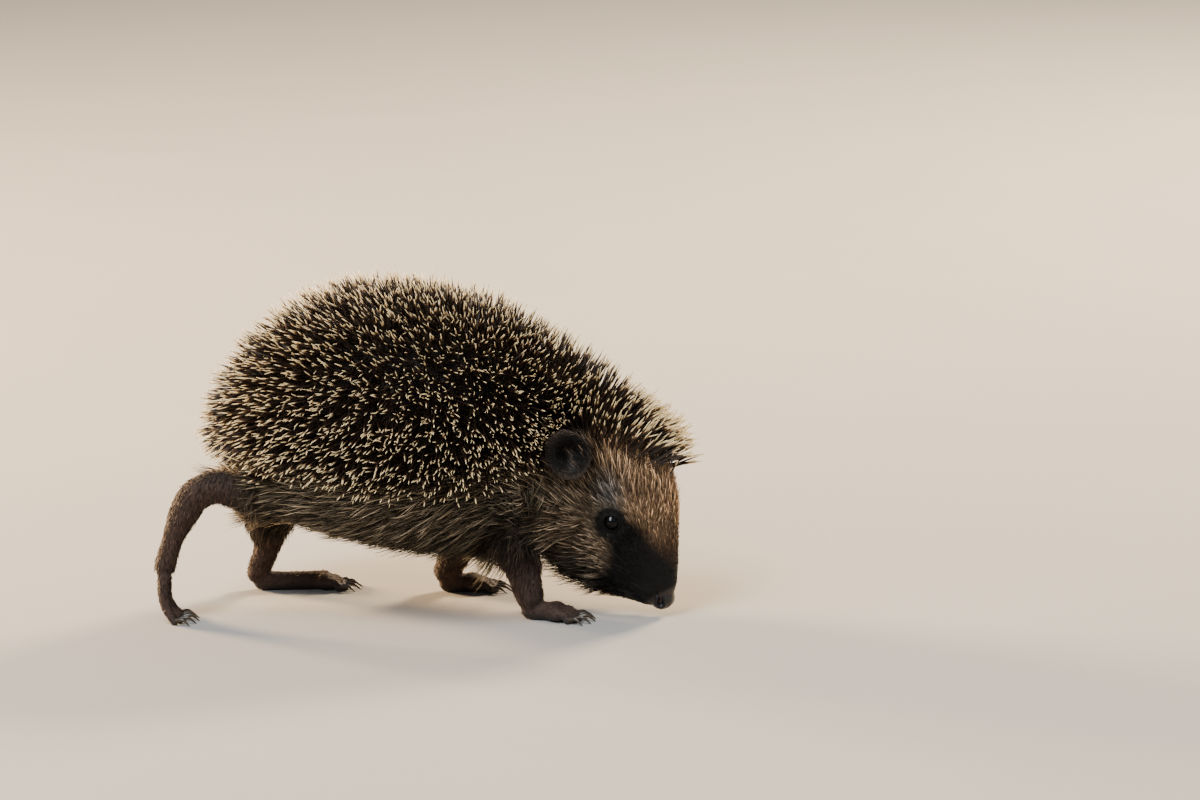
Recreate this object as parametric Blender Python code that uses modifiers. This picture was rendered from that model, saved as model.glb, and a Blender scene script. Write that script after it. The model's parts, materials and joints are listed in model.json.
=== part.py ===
"""A European hedgehog walking with its nose to the ground, as a still life-size model.

The animal faces +X and its right side is at -Y. Its feet stand on the floor, z = 0, and the
origin is on the floor under the middle of its box. Every solid reaches to the tips of its coat.

The body is modelled whole, as closed forms that are fused by a voxel remesh, and then parted
into named pieces by thin cuts. Each leg is fused on its own and meets the body at the fur line.
"""

import math

import bmesh
import bpy
import numpy as np
from mathutils import Matrix, Vector

# Tables and sizes below are in millimetres. Scene units are metres.
MM = 0.001
GAP = 0.3
# Round sockets are modelled with few faces, so they take a little more than the gap.
SOCKET_GAP = 0.4
# Half the side of the boxes that cut, and the half width that clears the body on either side.
CUTTER_REACH = 210.0
CLEAR_OF_BODY = 90.0

# The spiny coat, from the rump to the tips of the crest over the brow.
REAR_X = -81.0
CREST_X = 94.5
RUMP_X = -77.0
SHOULDER_X = 62.0
WIDTH_LEVEL = 59.0
CAP_POWER = 2.5
FIRST_SECTION = 0.04
MANTLE_POWER = 2.25
TRUNK_POWER = 2.15
HEAD_POWER = 2.1
# The front of the body follows the head to the animal's right, by this curve in 1 / mm.
BEND_START_X = 30.0
BEND = 0.0055
# Fraction of the way from rump to crest: half width, height above and depth under the widest level.
MANTLE = [
    (0.00, 46.0, 46.0, 9.0),
    (0.22, 51.0, 61.0, 11.0),
    (0.42, 51.5, 60.5, 15.5),
    (0.60, 41.5, 52.0, 13.0),
    (0.74, 29.5, 38.0, 8.0),
    (0.86, 31.0, 26.5, 7.0),
    (1.00, 34.0, 19.0, 8.0),
]
# The furry flanks and belly under the spines.
TRUNK_LEVEL = 48.0
TRUNK = [
    (0.00, 32.0, 20.0, 9.0),
    (0.20, 42.0, 40.0, 19.0),
    (0.50, 46.5, 50.0, 28.5),
    (0.78, 37.0, 44.0, 31.5),
    (1.00, 29.0, 30.0, 31.0),
]
# Two balls that fill the throat between the chest and the head, each with its radius.
THROAT = (((30.0, -2.0, 48.0), 27.0), ((52.0, -7.0, 43.0), 22.5))
# The level that parts spines from fur, from the rump to the crest.
SKIRT = [
    (-100.0, 52.0),
    (-47.0, 51.0),
    (-18.0, 45.5),
    (16.0, 43.5),
    (34.0, 50.0),
    (46.0, 61.0),
    (57.0, 67.0),
    (70.0, 62.5),
    (88.0, 54.0),
    (112.0, 49.0),
]

# The head points down and a little to the animal's right.
HEAD_PITCH = math.radians(58.0)
HEAD_YAW = math.radians(30.0)
NOSE_TIP = Vector((84.8, -17.9, 3.4))
# Distance behind the nose tip: half width, height on the brow side, depth on the throat side.
HEAD = [
    (1.5, 3.2, 3.4, 3.0),
    (4.0, 5.2, 6.6, 6.0),
    (10.0, 7.8, 11.2, 13.0),
    (18.0, 11.4, 15.8, 19.5),
    (26.0, 14.8, 20.4, 24.5),
    (34.0, 17.8, 24.6, 28.0),
    (42.0, 20.4, 27.0, 29.5),
    (52.0, 23.0, 27.0, 29.0),
    (64.0, 24.0, 25.0, 26.0),
]
MUZZLE_LENGTH = 21.0
MOUTH_DROP = 9.0
MOUTH_SLOPE = 0.32
EYE = (34.5, 13.7, 5.7)
EYE_RADIUS = 3.2
EYE_DISH_OUT = 4.6
EYE_DISH_RADIUS = 5.4
EAR = (62.5, 27.0, 10.5)
EAR_RADIUS = 7.9
EAR_DEPTH = 3.4
EAR_THICKNESS = 1.3
EAR_WIDE = 0.94
EAR_TALL = 1.04
# The way an ear opens: behind, outward and browward.
EAR_FACING = (-0.15, 0.85, 0.40)
NOSE = (3.0, 0.0, 0.6)
NOSE_HALF_SIZES = (3.6, 4.8, 3.7)
NOSTRIL = (1.6, 4.3, 0.6)
NOSTRIL_RADIUS = 1.0

# Cuts across the body: behind the shoulders' front edge, and behind the cheeks.
NECK_CUT = (Vector((27.0, 0.0, 40.0)), Vector((1.0, -0.08, 0.1)))
HEAD_CUT = (Vector((44.5, -6.0, 40.0)), Vector((1.0, -0.3, -0.05)))

# Points down the middle of each leg, each with its radius. The right hind leg is stretched back
# with its heel raised, and the other three stand on flat soles.
LEGS = {
    "hindleg_right": [
        ((-52.0, -21.0, 46.0), 12.5),
        ((-66.0, -25.0, 47.0), 8.2),
        ((-77.0, -25.5, 48.8), 6.6),
        ((-83.3, -25.5, 48.2), 6.0),
        ((-87.3, -25.5, 40.5), 5.2),
        ((-91.8, -26.0, 29.0), 4.9),
        ((-94.3, -26.0, 20.5), 5.0),
    ],
    "hindleg_left": [
        ((-52.0, 21.0, 42.0), 15.0),
        ((-62.0, 23.5, 28.0), 11.5),
        ((-62.0, 25.0, 15.0), 7.2),
        ((-63.0, 25.5, 6.4), 5.2),
    ],
    "foreleg_right": [
        ((28.0, -17.0, 36.0), 12.5),
        ((33.0, -20.5, 20.0), 7.6),
        ((36.0, -22.5, 8.0), 5.6),
    ],
    "foreleg_left": [
        ((20.0, 17.0, 36.0), 12.5),
        ((11.0, 20.5, 20.0), 7.8),
        ((5.5, 22.0, 8.0), 5.6),
    ],
}
RAISED_KNUCKLES = Vector((-0.4, 0.0, -2.6))
RAISED_HEADING = math.radians(-4.0)
RAISED_HALF_WIDTH = 6.4
RAISED_TOE_DROP = 8.0
# Each flat foot: heel, heading in degrees from +X, sole length, half width of the knuckles.
FLAT_FEET = {
    "forefoot_right": ((36.5, -22.8), -12.0, 9.0, 5.0),
    "forefoot_left": ((6.0, 22.2), 8.0, 9.0, 5.0),
    "hindfoot_left": ((-62.0, 25.5), 4.0, 22.0, 4.6),
}
# Height of the sole's middle line, and its radius, at the heel, the waist and the ball of the foot.
SOLE_LEVELS = (4.0, 3.6, 3.2)
SOLE_RADII = (4.6, 4.1, 3.8)
BALL_END_RADIUS = 3.3
KNUCKLE_AHEAD = 1.5
KNUCKLE_LEVEL = 2.6
TOE_LENGTHS = (4.6, 6.4, 7.0, 6.4, 4.8)
TOE_RADIUS = 1.9
PAD_FLAT = 0.75
TOE_SPREAD = math.radians(9.0)
TOE_EDGE = 1.2
CLAW_LENGTH = 6.0
CLAW_RADII = (1.15, 0.8, 0.4)
ANKLE_LEVELS = {"hindleg_left": 10.5, "foreleg_right": 11.5, "foreleg_left": 11.5}
HOCK_CUT = (Vector((-85.0, -25.5, 44.0)), Vector((-0.6, 0.0, -0.8)))

TAIL = [
    ((-66.0, 1.0, 47.0), 4.6),
    ((-76.0, 2.0, 44.0), 3.4),
    ((-82.5, 3.0, 39.5), 2.4),
]

BODY_VOXEL = 1.6
LIMB_VOXEL = 0.75
BODY_TRIANGLES = 3050
LIMB_TRIANGLES = 450
TAIL_TRIANGLES = 220

COLOURS = {
    "spine_coat": (0.055, 0.040, 0.028),
    "body_fur": (0.110, 0.082, 0.058),
    "face_fur": (0.210, 0.140, 0.085),
    "dark_skin": (0.030, 0.023, 0.019),
    "nose_leather": (0.012, 0.011, 0.011),
    "eye_black": (0.004, 0.004, 0.005),
}
ROUGHNESS = {"nose_leather": 0.35, "eye_black": 0.05}


# ---------------------------------------------------------------- scene and meshes


def clear_scene():
    for obj in list(bpy.data.objects):
        bpy.data.objects.remove(obj, do_unlink=True)


def collection(name):
    made = bpy.data.collections.new(name)
    bpy.context.scene.collection.children.link(made)
    return made


def material(name):
    made = bpy.data.materials.new(name)
    made.use_nodes = True
    shader = made.node_tree.nodes["Principled BSDF"]
    shader.inputs["Base Color"].default_value = (*COLOURS[name], 1.0)
    shader.inputs["Roughness"].default_value = ROUGHNESS.get(name, 0.75)
    shader.inputs["Metallic"].default_value = 0.0
    return made


def object_from(bm, name, into):
    """An object holding the bmesh, scaled from millimetres to metres."""
    bmesh.ops.transform(bm, matrix=Matrix.Scale(MM, 4), verts=bm.verts)
    mesh = bpy.data.meshes.new(name)
    bm.to_mesh(mesh)
    bm.free()
    obj = bpy.data.objects.new(name, mesh)
    into.objects.link(obj)
    return obj


def baked(obj):
    """Replaces the object's mesh by what its modifiers make of it."""
    graph = bpy.context.evaluated_depsgraph_get()
    mesh = bpy.data.meshes.new_from_object(obj.evaluated_get(graph))
    obj.modifiers.clear()
    obj.data = mesh
    return obj


def copy_of(obj, name, into):
    made = bpy.data.objects.new(name, obj.data.copy())
    into.objects.link(made)
    return made


def boolean(obj, operation, other):
    modifier = obj.modifiers.new(f"{operation.lower()} {other.name}", "BOOLEAN")
    modifier.operation = operation
    modifier.object = other


def fused(obj, voxel, triangles, smoothing):
    """One closed skin over overlapping forms: voxel remesh, smooth, then thin the faces out."""
    remesh = obj.modifiers.new("fuse", "REMESH")
    remesh.mode = "VOXEL"
    remesh.voxel_size = voxel * MM
    smooth = obj.modifiers.new("soften", "SMOOTH")
    smooth.iterations = smoothing
    baked(obj)
    thin = obj.modifiers.new("thin out", "DECIMATE")
    thin.ratio = triangles / (2.0 * len(obj.data.polygons))
    thin.use_collapse_triangulate = True
    return baked(obj)


def grown_copy(obj, distance, into):
    """The same closed form, each vertex moved out along its normal."""
    made = copy_of(obj, obj.name + "_grown", into)
    count = len(made.data.vertices)
    points = np.empty(count * 3, np.float32)
    normals = np.empty(count * 3, np.float32)
    made.data.vertices.foreach_get("co", points)
    made.data.vertices.foreach_get("normal", normals)
    made.data.vertices.foreach_set("co", points + normals * distance * MM)
    made.data.update()
    return made


def hide(obj):
    obj.hide_render = True
    obj.display_type = "WIRE"
    return obj


def finish(obj, slot):
    obj.data.materials.clear()
    obj.data.materials.append(slot)
    return obj


# ---------------------------------------------------------------- forms


def through(rows, at):
    """Smooth values at the given places, by cubic pieces through the rows of a table."""
    table = np.array(rows, float)
    knots = table[:, 0]
    values = table[:, 1:]
    slopes = np.gradient(values, knots, axis=0)
    index = np.clip(np.searchsorted(knots, at) - 1, 0, len(knots) - 2)
    span = knots[index + 1] - knots[index]
    s = np.clip((at - knots[index]) / span, 0.0, 1.0)[:, None]
    span = span[:, None]
    leave = slopes[index] * span * (s**3 - 2 * s**2 + s)
    arrive = slopes[index + 1] * span * (s**3 - s**2)
    blend = s * s * (3 - 2 * s)
    return values[index] * (1 - blend) + values[index + 1] * blend + leave + arrive


def loft(bm, centres, across, up, sizes, power, segments=36):
    """A closed form through rounded sections.

    A section's point at angle a is centre + half_width * C * across + h * S * up, where C and S
    are the cosine and sine of a raised to 2 / power, and h is the height above the centre or
    the depth under it. The first and last sections are closed by a point at their centre.
    """
    angles = np.linspace(0.0, 2.0 * math.pi, segments, endpoint=False)
    cosine = np.sign(np.cos(angles)) * np.abs(np.cos(angles)) ** (2.0 / power)
    sine = np.sign(np.sin(angles)) * np.abs(np.sin(angles)) ** (2.0 / power)
    rings = []
    for centre, side, (half, above, below) in zip(centres, across, sizes):
        height = np.where(sine > 0.0, above, below) * sine
        ring = centre + np.outer(half * cosine, side) + np.outer(height, up)
        rings.append([bm.verts.new(point) for point in ring])
    faces = []
    for ring, following in zip(rings, rings[1:]):
        for i in range(segments):
            j = (i + 1) % segments
            faces.append(bm.faces.new((ring[i], ring[j], following[j], following[i])))
    for ring, centre in ((rings[0], centres[0]), (rings[-1], centres[-1])):
        pole = bm.verts.new(centre)
        for i in range(segments):
            faces.append(bm.faces.new((ring[i], ring[(i + 1) % segments], pole)))
    bmesh.ops.recalc_face_normals(bm, faces=faces)


def barrel(bm, table, start, end, level, power, sections=36):
    """A body form along X, whose section sizes follow the table and round off at both ends."""
    turn = np.linspace(FIRST_SECTION, 1.0 - FIRST_SECTION, sections) * math.pi
    along = 0.5 * (1.0 - np.cos(turn))
    rounding = (1.0 - np.abs(2.0 * along - 1.0) ** CAP_POWER) ** (1.0 / CAP_POWER)
    sizes = through(table, along) * rounding[:, None]
    x = start + (end - start) * along
    bend = np.maximum(x - BEND_START_X, 0.0)
    centres = np.column_stack([x, -BEND * bend**2, np.full_like(x, level)])
    turned = np.arctan(2.0 * BEND * bend)
    across = np.column_stack([-np.sin(turned), -np.cos(turned), np.zeros_like(x)])
    loft(bm, centres, across, (0.0, 0.0, 1.0), sizes, power)


def head_axes():
    """Unit vectors to the nose, to the animal's right and to its brow."""
    cp, sp = math.cos(HEAD_PITCH), math.sin(HEAD_PITCH)
    cy, sy = math.cos(HEAD_YAW), math.sin(HEAD_YAW)
    return Vector((cp * cy, -cp * sy, -sp)), Vector((-sy, -cy, 0.0)), Vector((sp * cy, -sp * sy, cp))


def in_head(back, right, brow):
    """A place in the head: distance behind the nose tip, to the animal's right, and browwards."""
    forward, side, up = head_axes()
    return NOSE_TIP - back * forward + right * side + brow * up


def head_form(bm):
    forward, side, up = head_axes()
    back = np.linspace(HEAD[0][0], HEAD[-1][0], 26)
    centres = np.array(NOSE_TIP) - np.outer(back, forward)
    loft(bm, centres, [side] * len(back), up, through(HEAD, back), HEAD_POWER)


def ball(bm, centre, sizes, turn=None, segments=20, rings=12):
    matrix = Matrix.Translation(centre) @ (turn or Matrix()) @ Matrix.Diagonal((*sizes, 1.0))
    bmesh.ops.create_uvsphere(bm, u_segments=segments, v_segments=rings, radius=1.0, matrix=matrix)


def chain(bm, stations, segments=16):
    """Balls at the stations, joined by cones: a limb, toe, claw or tail."""
    for centre, radius in stations:
        ball(bm, Vector(centre), (radius,) * 3, segments=segments, rings=10)
    for (start, r_start), (end, r_end) in zip(stations, stations[1:]):
        run = Vector(end) - Vector(start)
        middle = (Vector(end) + Vector(start)) / 2.0
        matrix = Matrix.Translation(middle) @ run.to_track_quat("Z", "Y").to_matrix().to_4x4()
        bmesh.ops.create_cone(
            bm,
            cap_ends=True,
            segments=segments,
            radius1=r_start,
            radius2=r_end,
            depth=run.length,
            matrix=matrix,
        )


def toe_row(bm, knuckle_at, heading, half_width, down_first):
    """Five toes with claws. Each leaves its knuckle, fans out, and ends on a small flat pad."""
    forward = Vector((math.cos(heading), math.sin(heading), 0.0))
    across = Vector((-forward.y, forward.x, 0.0))
    for number, length in enumerate(TOE_LENGTHS):
        place = number - 2
        knuckle = knuckle_at + across * (half_width - TOE_EDGE) * place / 2.0
        way = Matrix.Rotation(TOE_SPREAD * place, 3, "Z") @ forward
        if down_first:
            knee = knuckle + way * 1.4 - Vector((0.0, 0.0, RAISED_TOE_DROP))
            tip = knee + way * (0.45 * length - 0.5)
        else:
            knee = knuckle + way * length * 0.5 + Vector((0.0, 0.0, 0.4))
            tip = knuckle + way * length
        tip.z = TOE_RADIUS - PAD_FLAT
        pads = ((knuckle, TOE_RADIUS + 0.5), (knee, TOE_RADIUS + 0.1), (tip, TOE_RADIUS))
        chain(bm, pads, segments=12)
        root = tip + Vector((0.0, 0.0, 1.0))
        bend = root + way * CLAW_LENGTH * 0.5 + Vector((0.0, 0.0, 0.5))
        point = root + way * CLAW_LENGTH
        point.z = CLAW_RADII[2]
        chain(bm, tuple(zip((root, bend, point), CLAW_RADII)), segments=8)


def flat_foot_form(bm, heel_at, degrees, length, half_width):
    """A sole laid on the floor from the heel to the knuckles, and its toes."""
    heading = math.radians(degrees)
    forward = Vector((math.cos(heading), math.sin(heading), 0.0))
    heel = Vector((*heel_at, 0.0))
    places = [heel + forward * length * part for part in (0.0, 0.5, 1.0)]
    for place, level in zip(places, SOLE_LEVELS):
        place.z = level
    chain(bm, tuple(zip(places, SOLE_RADII)))
    across = Vector((-forward.y, forward.x, 0.0))
    edge = across * (half_width - 2.0 * TOE_EDGE)
    chain(bm, ((places[-1] - edge, BALL_END_RADIUS), (places[-1] + edge, BALL_END_RADIUS)))
    knuckles = places[-1] + forward * KNUCKLE_AHEAD
    knuckles.z = KNUCKLE_LEVEL
    toe_row(bm, knuckles, heading, half_width, down_first=False)


# ---------------------------------------------------------------- cutters


def beyond(name, plane, into, shift=0.0):
    """A large box that fills the space ahead of a plane, given by a point and a direction."""
    point, direction = plane
    direction = direction.normalized()
    bm = bmesh.new()
    middle = point + direction * (CUTTER_REACH + shift)
    turn = direction.to_track_quat("Z", "Y").to_matrix().to_4x4()
    matrix = Matrix.Translation(middle) @ turn
    bmesh.ops.create_cube(bm, size=2.0 * CUTTER_REACH, matrix=matrix)
    return hide(object_from(bm, name, into))


def behind(name, plane, into, shift=0.0):
    return beyond(name, (plane[0], -plane[1]), into, shift)


def over_skirt(name, into, drop):
    """The space over the level where spines give way to fur, as an outline drawn out along Y."""
    x = np.linspace(SKIRT[0][0], SKIRT[-1][0], 34)
    z = through(SKIRT, x)[:, 0] - drop
    outline = list(zip(x, z)) + [(x[-1], CUTTER_REACH), (x[0], CUTTER_REACH)]
    bm = bmesh.new()
    face = bm.faces.new([bm.verts.new((a, -CLEAR_OF_BODY, b)) for a, b in outline])
    drawn = bmesh.ops.extrude_face_region(bm, geom=[face])
    moved = [item for item in drawn["geom"] if isinstance(item, bmesh.types.BMVert)]
    bmesh.ops.translate(bm, verts=moved, vec=(0.0, 2.0 * CLEAR_OF_BODY, 0.0))
    bmesh.ops.triangulate(bm, faces=bm.faces)
    bmesh.ops.recalc_face_normals(bm, faces=bm.faces)
    return hide(object_from(bm, name, into))


# ---------------------------------------------------------------- the animal


def body_form(into):
    bm = bmesh.new()
    barrel(bm, MANTLE, REAR_X, CREST_X, WIDTH_LEVEL, MANTLE_POWER)
    barrel(bm, TRUNK, RUMP_X, SHOULDER_X, TRUNK_LEVEL, TRUNK_POWER)
    chain(bm, THROAT, segments=32)
    head_form(bm)
    return fused(object_from(bm, "body", into), BODY_VOXEL, BODY_TRIANGLES, 4)


def part_body(body, made, cutters, slots):
    """Mantle, trunk, neck, head, muzzle and lower jaw, parted by cuts 0.3 mm wide."""
    forward, side, up = head_axes()
    spiny = over_skirt("over_skirt", cutters, 0.0)
    spiny_gap = over_skirt("over_skirt_gap", cutters, GAP)
    muzzle_cut = (in_head(MUZZLE_LENGTH, 0.0, 0.0), forward)
    mouth_cut = (in_head(MUZZLE_LENGTH, 0.0, -MOUTH_DROP), MOUTH_SLOPE * forward - up)

    mantle = copy_of(body, "mantle", made)
    boolean(mantle, "INTERSECT", spiny)

    trunk = copy_of(body, "trunk", made)
    boolean(trunk, "DIFFERENCE", spiny_gap)
    boolean(trunk, "DIFFERENCE", beyond("ahead_of_trunk", NECK_CUT, cutters))

    neck = copy_of(body, "neck", made)
    boolean(neck, "DIFFERENCE", spiny_gap)
    boolean(neck, "DIFFERENCE", behind("behind_neck", NECK_CUT, cutters, -GAP))
    boolean(neck, "DIFFERENCE", beyond("ahead_of_neck", HEAD_CUT, cutters))

    head = copy_of(body, "head", made)
    boolean(head, "DIFFERENCE", spiny_gap)
    boolean(head, "DIFFERENCE", behind("behind_head", HEAD_CUT, cutters, -GAP))
    boolean(head, "DIFFERENCE", beyond("ahead_of_head", muzzle_cut, cutters))

    muzzle = copy_of(body, "muzzle", made)
    jaw = copy_of(body, "lower_jaw", made)
    behind_muzzle = behind("behind_muzzle", muzzle_cut, cutters, -GAP)
    boolean(muzzle, "DIFFERENCE", behind_muzzle)
    boolean(muzzle, "DIFFERENCE", beyond("under_muzzle", mouth_cut, cutters))
    boolean(jaw, "DIFFERENCE", behind_muzzle)
    boolean(jaw, "DIFFERENCE", behind("over_jaw", mouth_cut, cutters, -GAP))

    finish(mantle, slots["spine_coat"])
    for piece in (trunk, neck):
        finish(piece, slots["body_fur"])
    for piece in (head, muzzle, jaw):
        finish(piece, slots["face_fur"])
    return head, muzzle, jaw


def eyes(head, made, cutters, slots):
    """Black balls, each in a socket of the head with a shallow dish round it."""
    back, right, brow = EYE
    for side, sign in (("right", 1.0), ("left", -1.0)):
        centre = in_head(back, sign * right, brow)
        bm = bmesh.new()
        ball(bm, centre, (EYE_RADIUS,) * 3, segments=14, rings=8)
        finish(object_from(bm, f"eye_{side}", made), slots["eye_black"])
        bm = bmesh.new()
        ball(bm, centre, (EYE_RADIUS + SOCKET_GAP,) * 3, segments=14, rings=8)
        boolean(head, "DIFFERENCE", hide(object_from(bm, f"socket_{side}", cutters)))
        bm = bmesh.new()
        dish = in_head(back, sign * (right + EYE_DISH_OUT), brow)
        ball(bm, dish, (EYE_DISH_RADIUS,) * 3, segments=14, rings=8)
        boolean(head, "DIFFERENCE", hide(object_from(bm, f"dish_{side}", cutters)))


def head_turn():
    """Rotation that takes X, Y, Z to the nose, the animal's left and the brow."""
    forward, side, up = head_axes()
    return Matrix((forward, -side, up)).transposed().to_4x4()


def nose(muzzle, jaw, made, cutters, slots):
    """A leathery pad at the end of the muzzle with two nostrils."""
    centre = in_head(*NOSE)
    socket_sizes = [size + SOCKET_GAP for size in NOSE_HALF_SIZES]
    bm = bmesh.new()
    ball(bm, centre, NOSE_HALF_SIZES, head_turn(), segments=16, rings=9)
    pad = finish(object_from(bm, "nose", made), slots["nose_leather"])
    bm = bmesh.new()
    ball(bm, centre, socket_sizes, head_turn(), segments=16, rings=9)
    around = hide(object_from(bm, "around_nose", cutters))
    boolean(muzzle, "DIFFERENCE", around)
    boolean(jaw, "DIFFERENCE", around)
    back, right, brow = NOSTRIL
    for side, sign in (("right", 1.0), ("left", -1.0)):
        bm = bmesh.new()
        place = in_head(back, sign * right, brow)
        ball(bm, place, (NOSTRIL_RADIUS,) * 3, segments=8, rings=6)
        boolean(pad, "DIFFERENCE", hide(object_from(bm, f"nostril_{side}", cutters)))


def ear_dish(bm, place, segments=20, rings=3):
    """A round dish: at fraction f of its radius it rises by f squared times its depth.

    The outline is a little taller than wide.
    """
    centre = bm.verts.new((0.0, 0.0, 0.0))
    loops = []
    for step in range(1, rings + 1):
        f = step / rings
        loop = []
        for i in range(segments):
            a = 2.0 * math.pi * i / segments
            x = EAR_RADIUS * EAR_WIDE * f * math.cos(a)
            y = EAR_RADIUS * EAR_TALL * f * math.sin(a)
            loop.append(bm.verts.new((x, y, EAR_DEPTH * f * f)))
        loops.append(loop)
    for i in range(segments):
        j = (i + 1) % segments
        bm.faces.new((centre, loops[0][i], loops[0][j]))
        for inner, outer in zip(loops, loops[1:]):
            bm.faces.new((inner[i], outer[i], outer[j], inner[j]))
    bmesh.ops.transform(bm, matrix=place, verts=bm.verts)


def ears(body_gap, made, slots):
    """Round cupped ears that open forward and outward, set into the coat at their lower edge."""
    back, right, brow = EAR
    for side, sign in (("right", 1.0), ("left", -1.0)):
        facing = Vector(EAR_FACING)
        forward, across, up = head_axes()
        out = (sign * facing.y * across + facing.z * up - facing.x * forward).normalized()
        tall = (-forward - out * out.dot(-forward)).normalized()
        wide = tall.cross(out)
        place = Matrix.Translation(in_head(back, sign * right, brow))
        place = place @ Matrix((wide, tall, out)).transposed().to_4x4()
        bm = bmesh.new()
        ear_dish(bm, place)
        ear = object_from(bm, f"ear_{side}", made)
        wall = ear.modifiers.new("thickness", "SOLIDIFY")
        wall.thickness = EAR_THICKNESS * MM
        wall.offset = -1.0
        boolean(ear, "DIFFERENCE", body_gap)
        finish(ear, slots["dark_skin"])


def limb_forms():
    """Each leg with its foot, as overlapping balls and cones."""
    forms = {}
    for name, row in LEGS.items():
        forms[name] = bmesh.new()
        chain(forms[name], row, segments=20)
    for foot, (heel, degrees, length, half_width) in FLAT_FEET.items():
        flat_foot_form(forms[foot.replace("foot", "leg")], heel, degrees, length, half_width)
    knuckles = Vector(LEGS["hindleg_right"][-1][0]) + RAISED_KNUCKLES
    toe_row(forms["hindleg_right"], knuckles, RAISED_HEADING, RAISED_HALF_WIDTH, down_first=True)
    return forms


def legs(body_gap, made, cutters, slots):
    """Four legs that stop at the body's fur, each parted from its foot, with flat pads at z = 0."""
    floor = beyond("under_floor", (Vector((0.0, 0.0, 0.0)), Vector((0.0, 0.0, -1.0))), cutters)
    for leg_name, form in limb_forms().items():
        whole = fused(object_from(form, leg_name, made), LIMB_VOXEL, LIMB_TRIANGLES, 2)
        level = ANKLE_LEVELS.get(leg_name)
        ankle = (Vector((0.0, 0.0, level)), Vector((0.0, 0.0, -1.0))) if level else HOCK_CUT
        foot = copy_of(whole, leg_name.replace("leg", "foot"), made)
        boolean(whole, "DIFFERENCE", body_gap)
        boolean(whole, "DIFFERENCE", beyond(f"under_{leg_name}", ankle, cutters))
        boolean(foot, "DIFFERENCE", behind(f"over_{foot.name}", ankle, cutters, -GAP))
        boolean(foot, "DIFFERENCE", floor)
        finish(whole, slots["body_fur"])
        finish(foot, slots["dark_skin"])


def tail(body_gap, made, slots):
    bm = bmesh.new()
    chain(bm, TAIL, segments=14)
    stub = fused(object_from(bm, "tail", made), LIMB_VOXEL, TAIL_TRIANGLES, 2)
    boolean(stub, "DIFFERENCE", body_gap)
    finish(stub, slots["dark_skin"])


def main():
    clear_scene()
    made = collection("hedgehog")
    cutters = collection("cutters")
    slots = {name: material(name) for name in COLOURS}
    body = hide(body_form(cutters))
    body_gap = hide(grown_copy(body, GAP, cutters))
    head, muzzle, jaw = part_body(body, made, cutters, slots)
    eyes(head, made, cutters, slots)
    nose(muzzle, jaw, made, cutters, slots)
    ears(body_gap, made, slots)
    legs(body_gap, made, cutters, slots)
    tail(body_gap, made, slots)
    for obj in made.objects:
        obj.data.shade_smooth()


main()
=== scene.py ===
# %% [markdown]
# # A hedgehog with its nose to the ground
#
# This lesson dresses a finished solid model of a European hedgehog. The frame gives plain closed
# solids that reach to the tips of the coat. Here they are replaced by one skin that lies deeper,
# and the coat grows on it: thousands of spines, tufts of fur, whiskers, claws, eyes and nose.

# %% Load the frame
import json
import math

import bmesh
import bpy
import numpy as np
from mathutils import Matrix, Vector, kdtree

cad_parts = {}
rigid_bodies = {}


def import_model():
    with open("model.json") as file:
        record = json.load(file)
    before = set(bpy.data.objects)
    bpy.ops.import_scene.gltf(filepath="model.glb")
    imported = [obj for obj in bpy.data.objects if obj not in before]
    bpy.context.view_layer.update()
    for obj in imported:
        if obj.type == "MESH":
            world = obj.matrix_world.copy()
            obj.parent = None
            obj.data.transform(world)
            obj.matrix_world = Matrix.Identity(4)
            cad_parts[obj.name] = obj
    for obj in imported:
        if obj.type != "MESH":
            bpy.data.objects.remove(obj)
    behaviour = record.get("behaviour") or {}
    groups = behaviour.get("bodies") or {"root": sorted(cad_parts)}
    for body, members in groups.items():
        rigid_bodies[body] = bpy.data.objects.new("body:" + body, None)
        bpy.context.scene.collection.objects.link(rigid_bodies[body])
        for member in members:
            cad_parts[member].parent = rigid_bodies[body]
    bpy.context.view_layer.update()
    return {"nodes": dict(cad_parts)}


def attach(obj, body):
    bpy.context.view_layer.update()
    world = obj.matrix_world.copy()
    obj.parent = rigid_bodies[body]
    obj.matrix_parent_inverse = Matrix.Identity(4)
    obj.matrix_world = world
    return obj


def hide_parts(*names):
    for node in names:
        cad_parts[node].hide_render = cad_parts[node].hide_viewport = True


for leftover in list(bpy.data.objects):
    bpy.data.objects.remove(leftover, do_unlink=True)
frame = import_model()

# %% [markdown]
# ## The measures
#
# All tables are in millimetres, and a scene unit is a metre. The body and head tables are those
# of the solids, which reach to the coat's tips. How deep the coat is at each place is a second
# set of numbers, so the skin is the same form pared down by the coat.

# %% The body's measures
MM = 0.001
REAR_X = -81.0
CREST_X = 94.5
RUMP_X = -77.0
SHOULDER_X = 62.0
WIDTH_LEVEL = 59.0
TRUNK_LEVEL = 48.0
CAP_POWER = 2.5
BEND_START_X = 30.0
BEND = 0.0055
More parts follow.
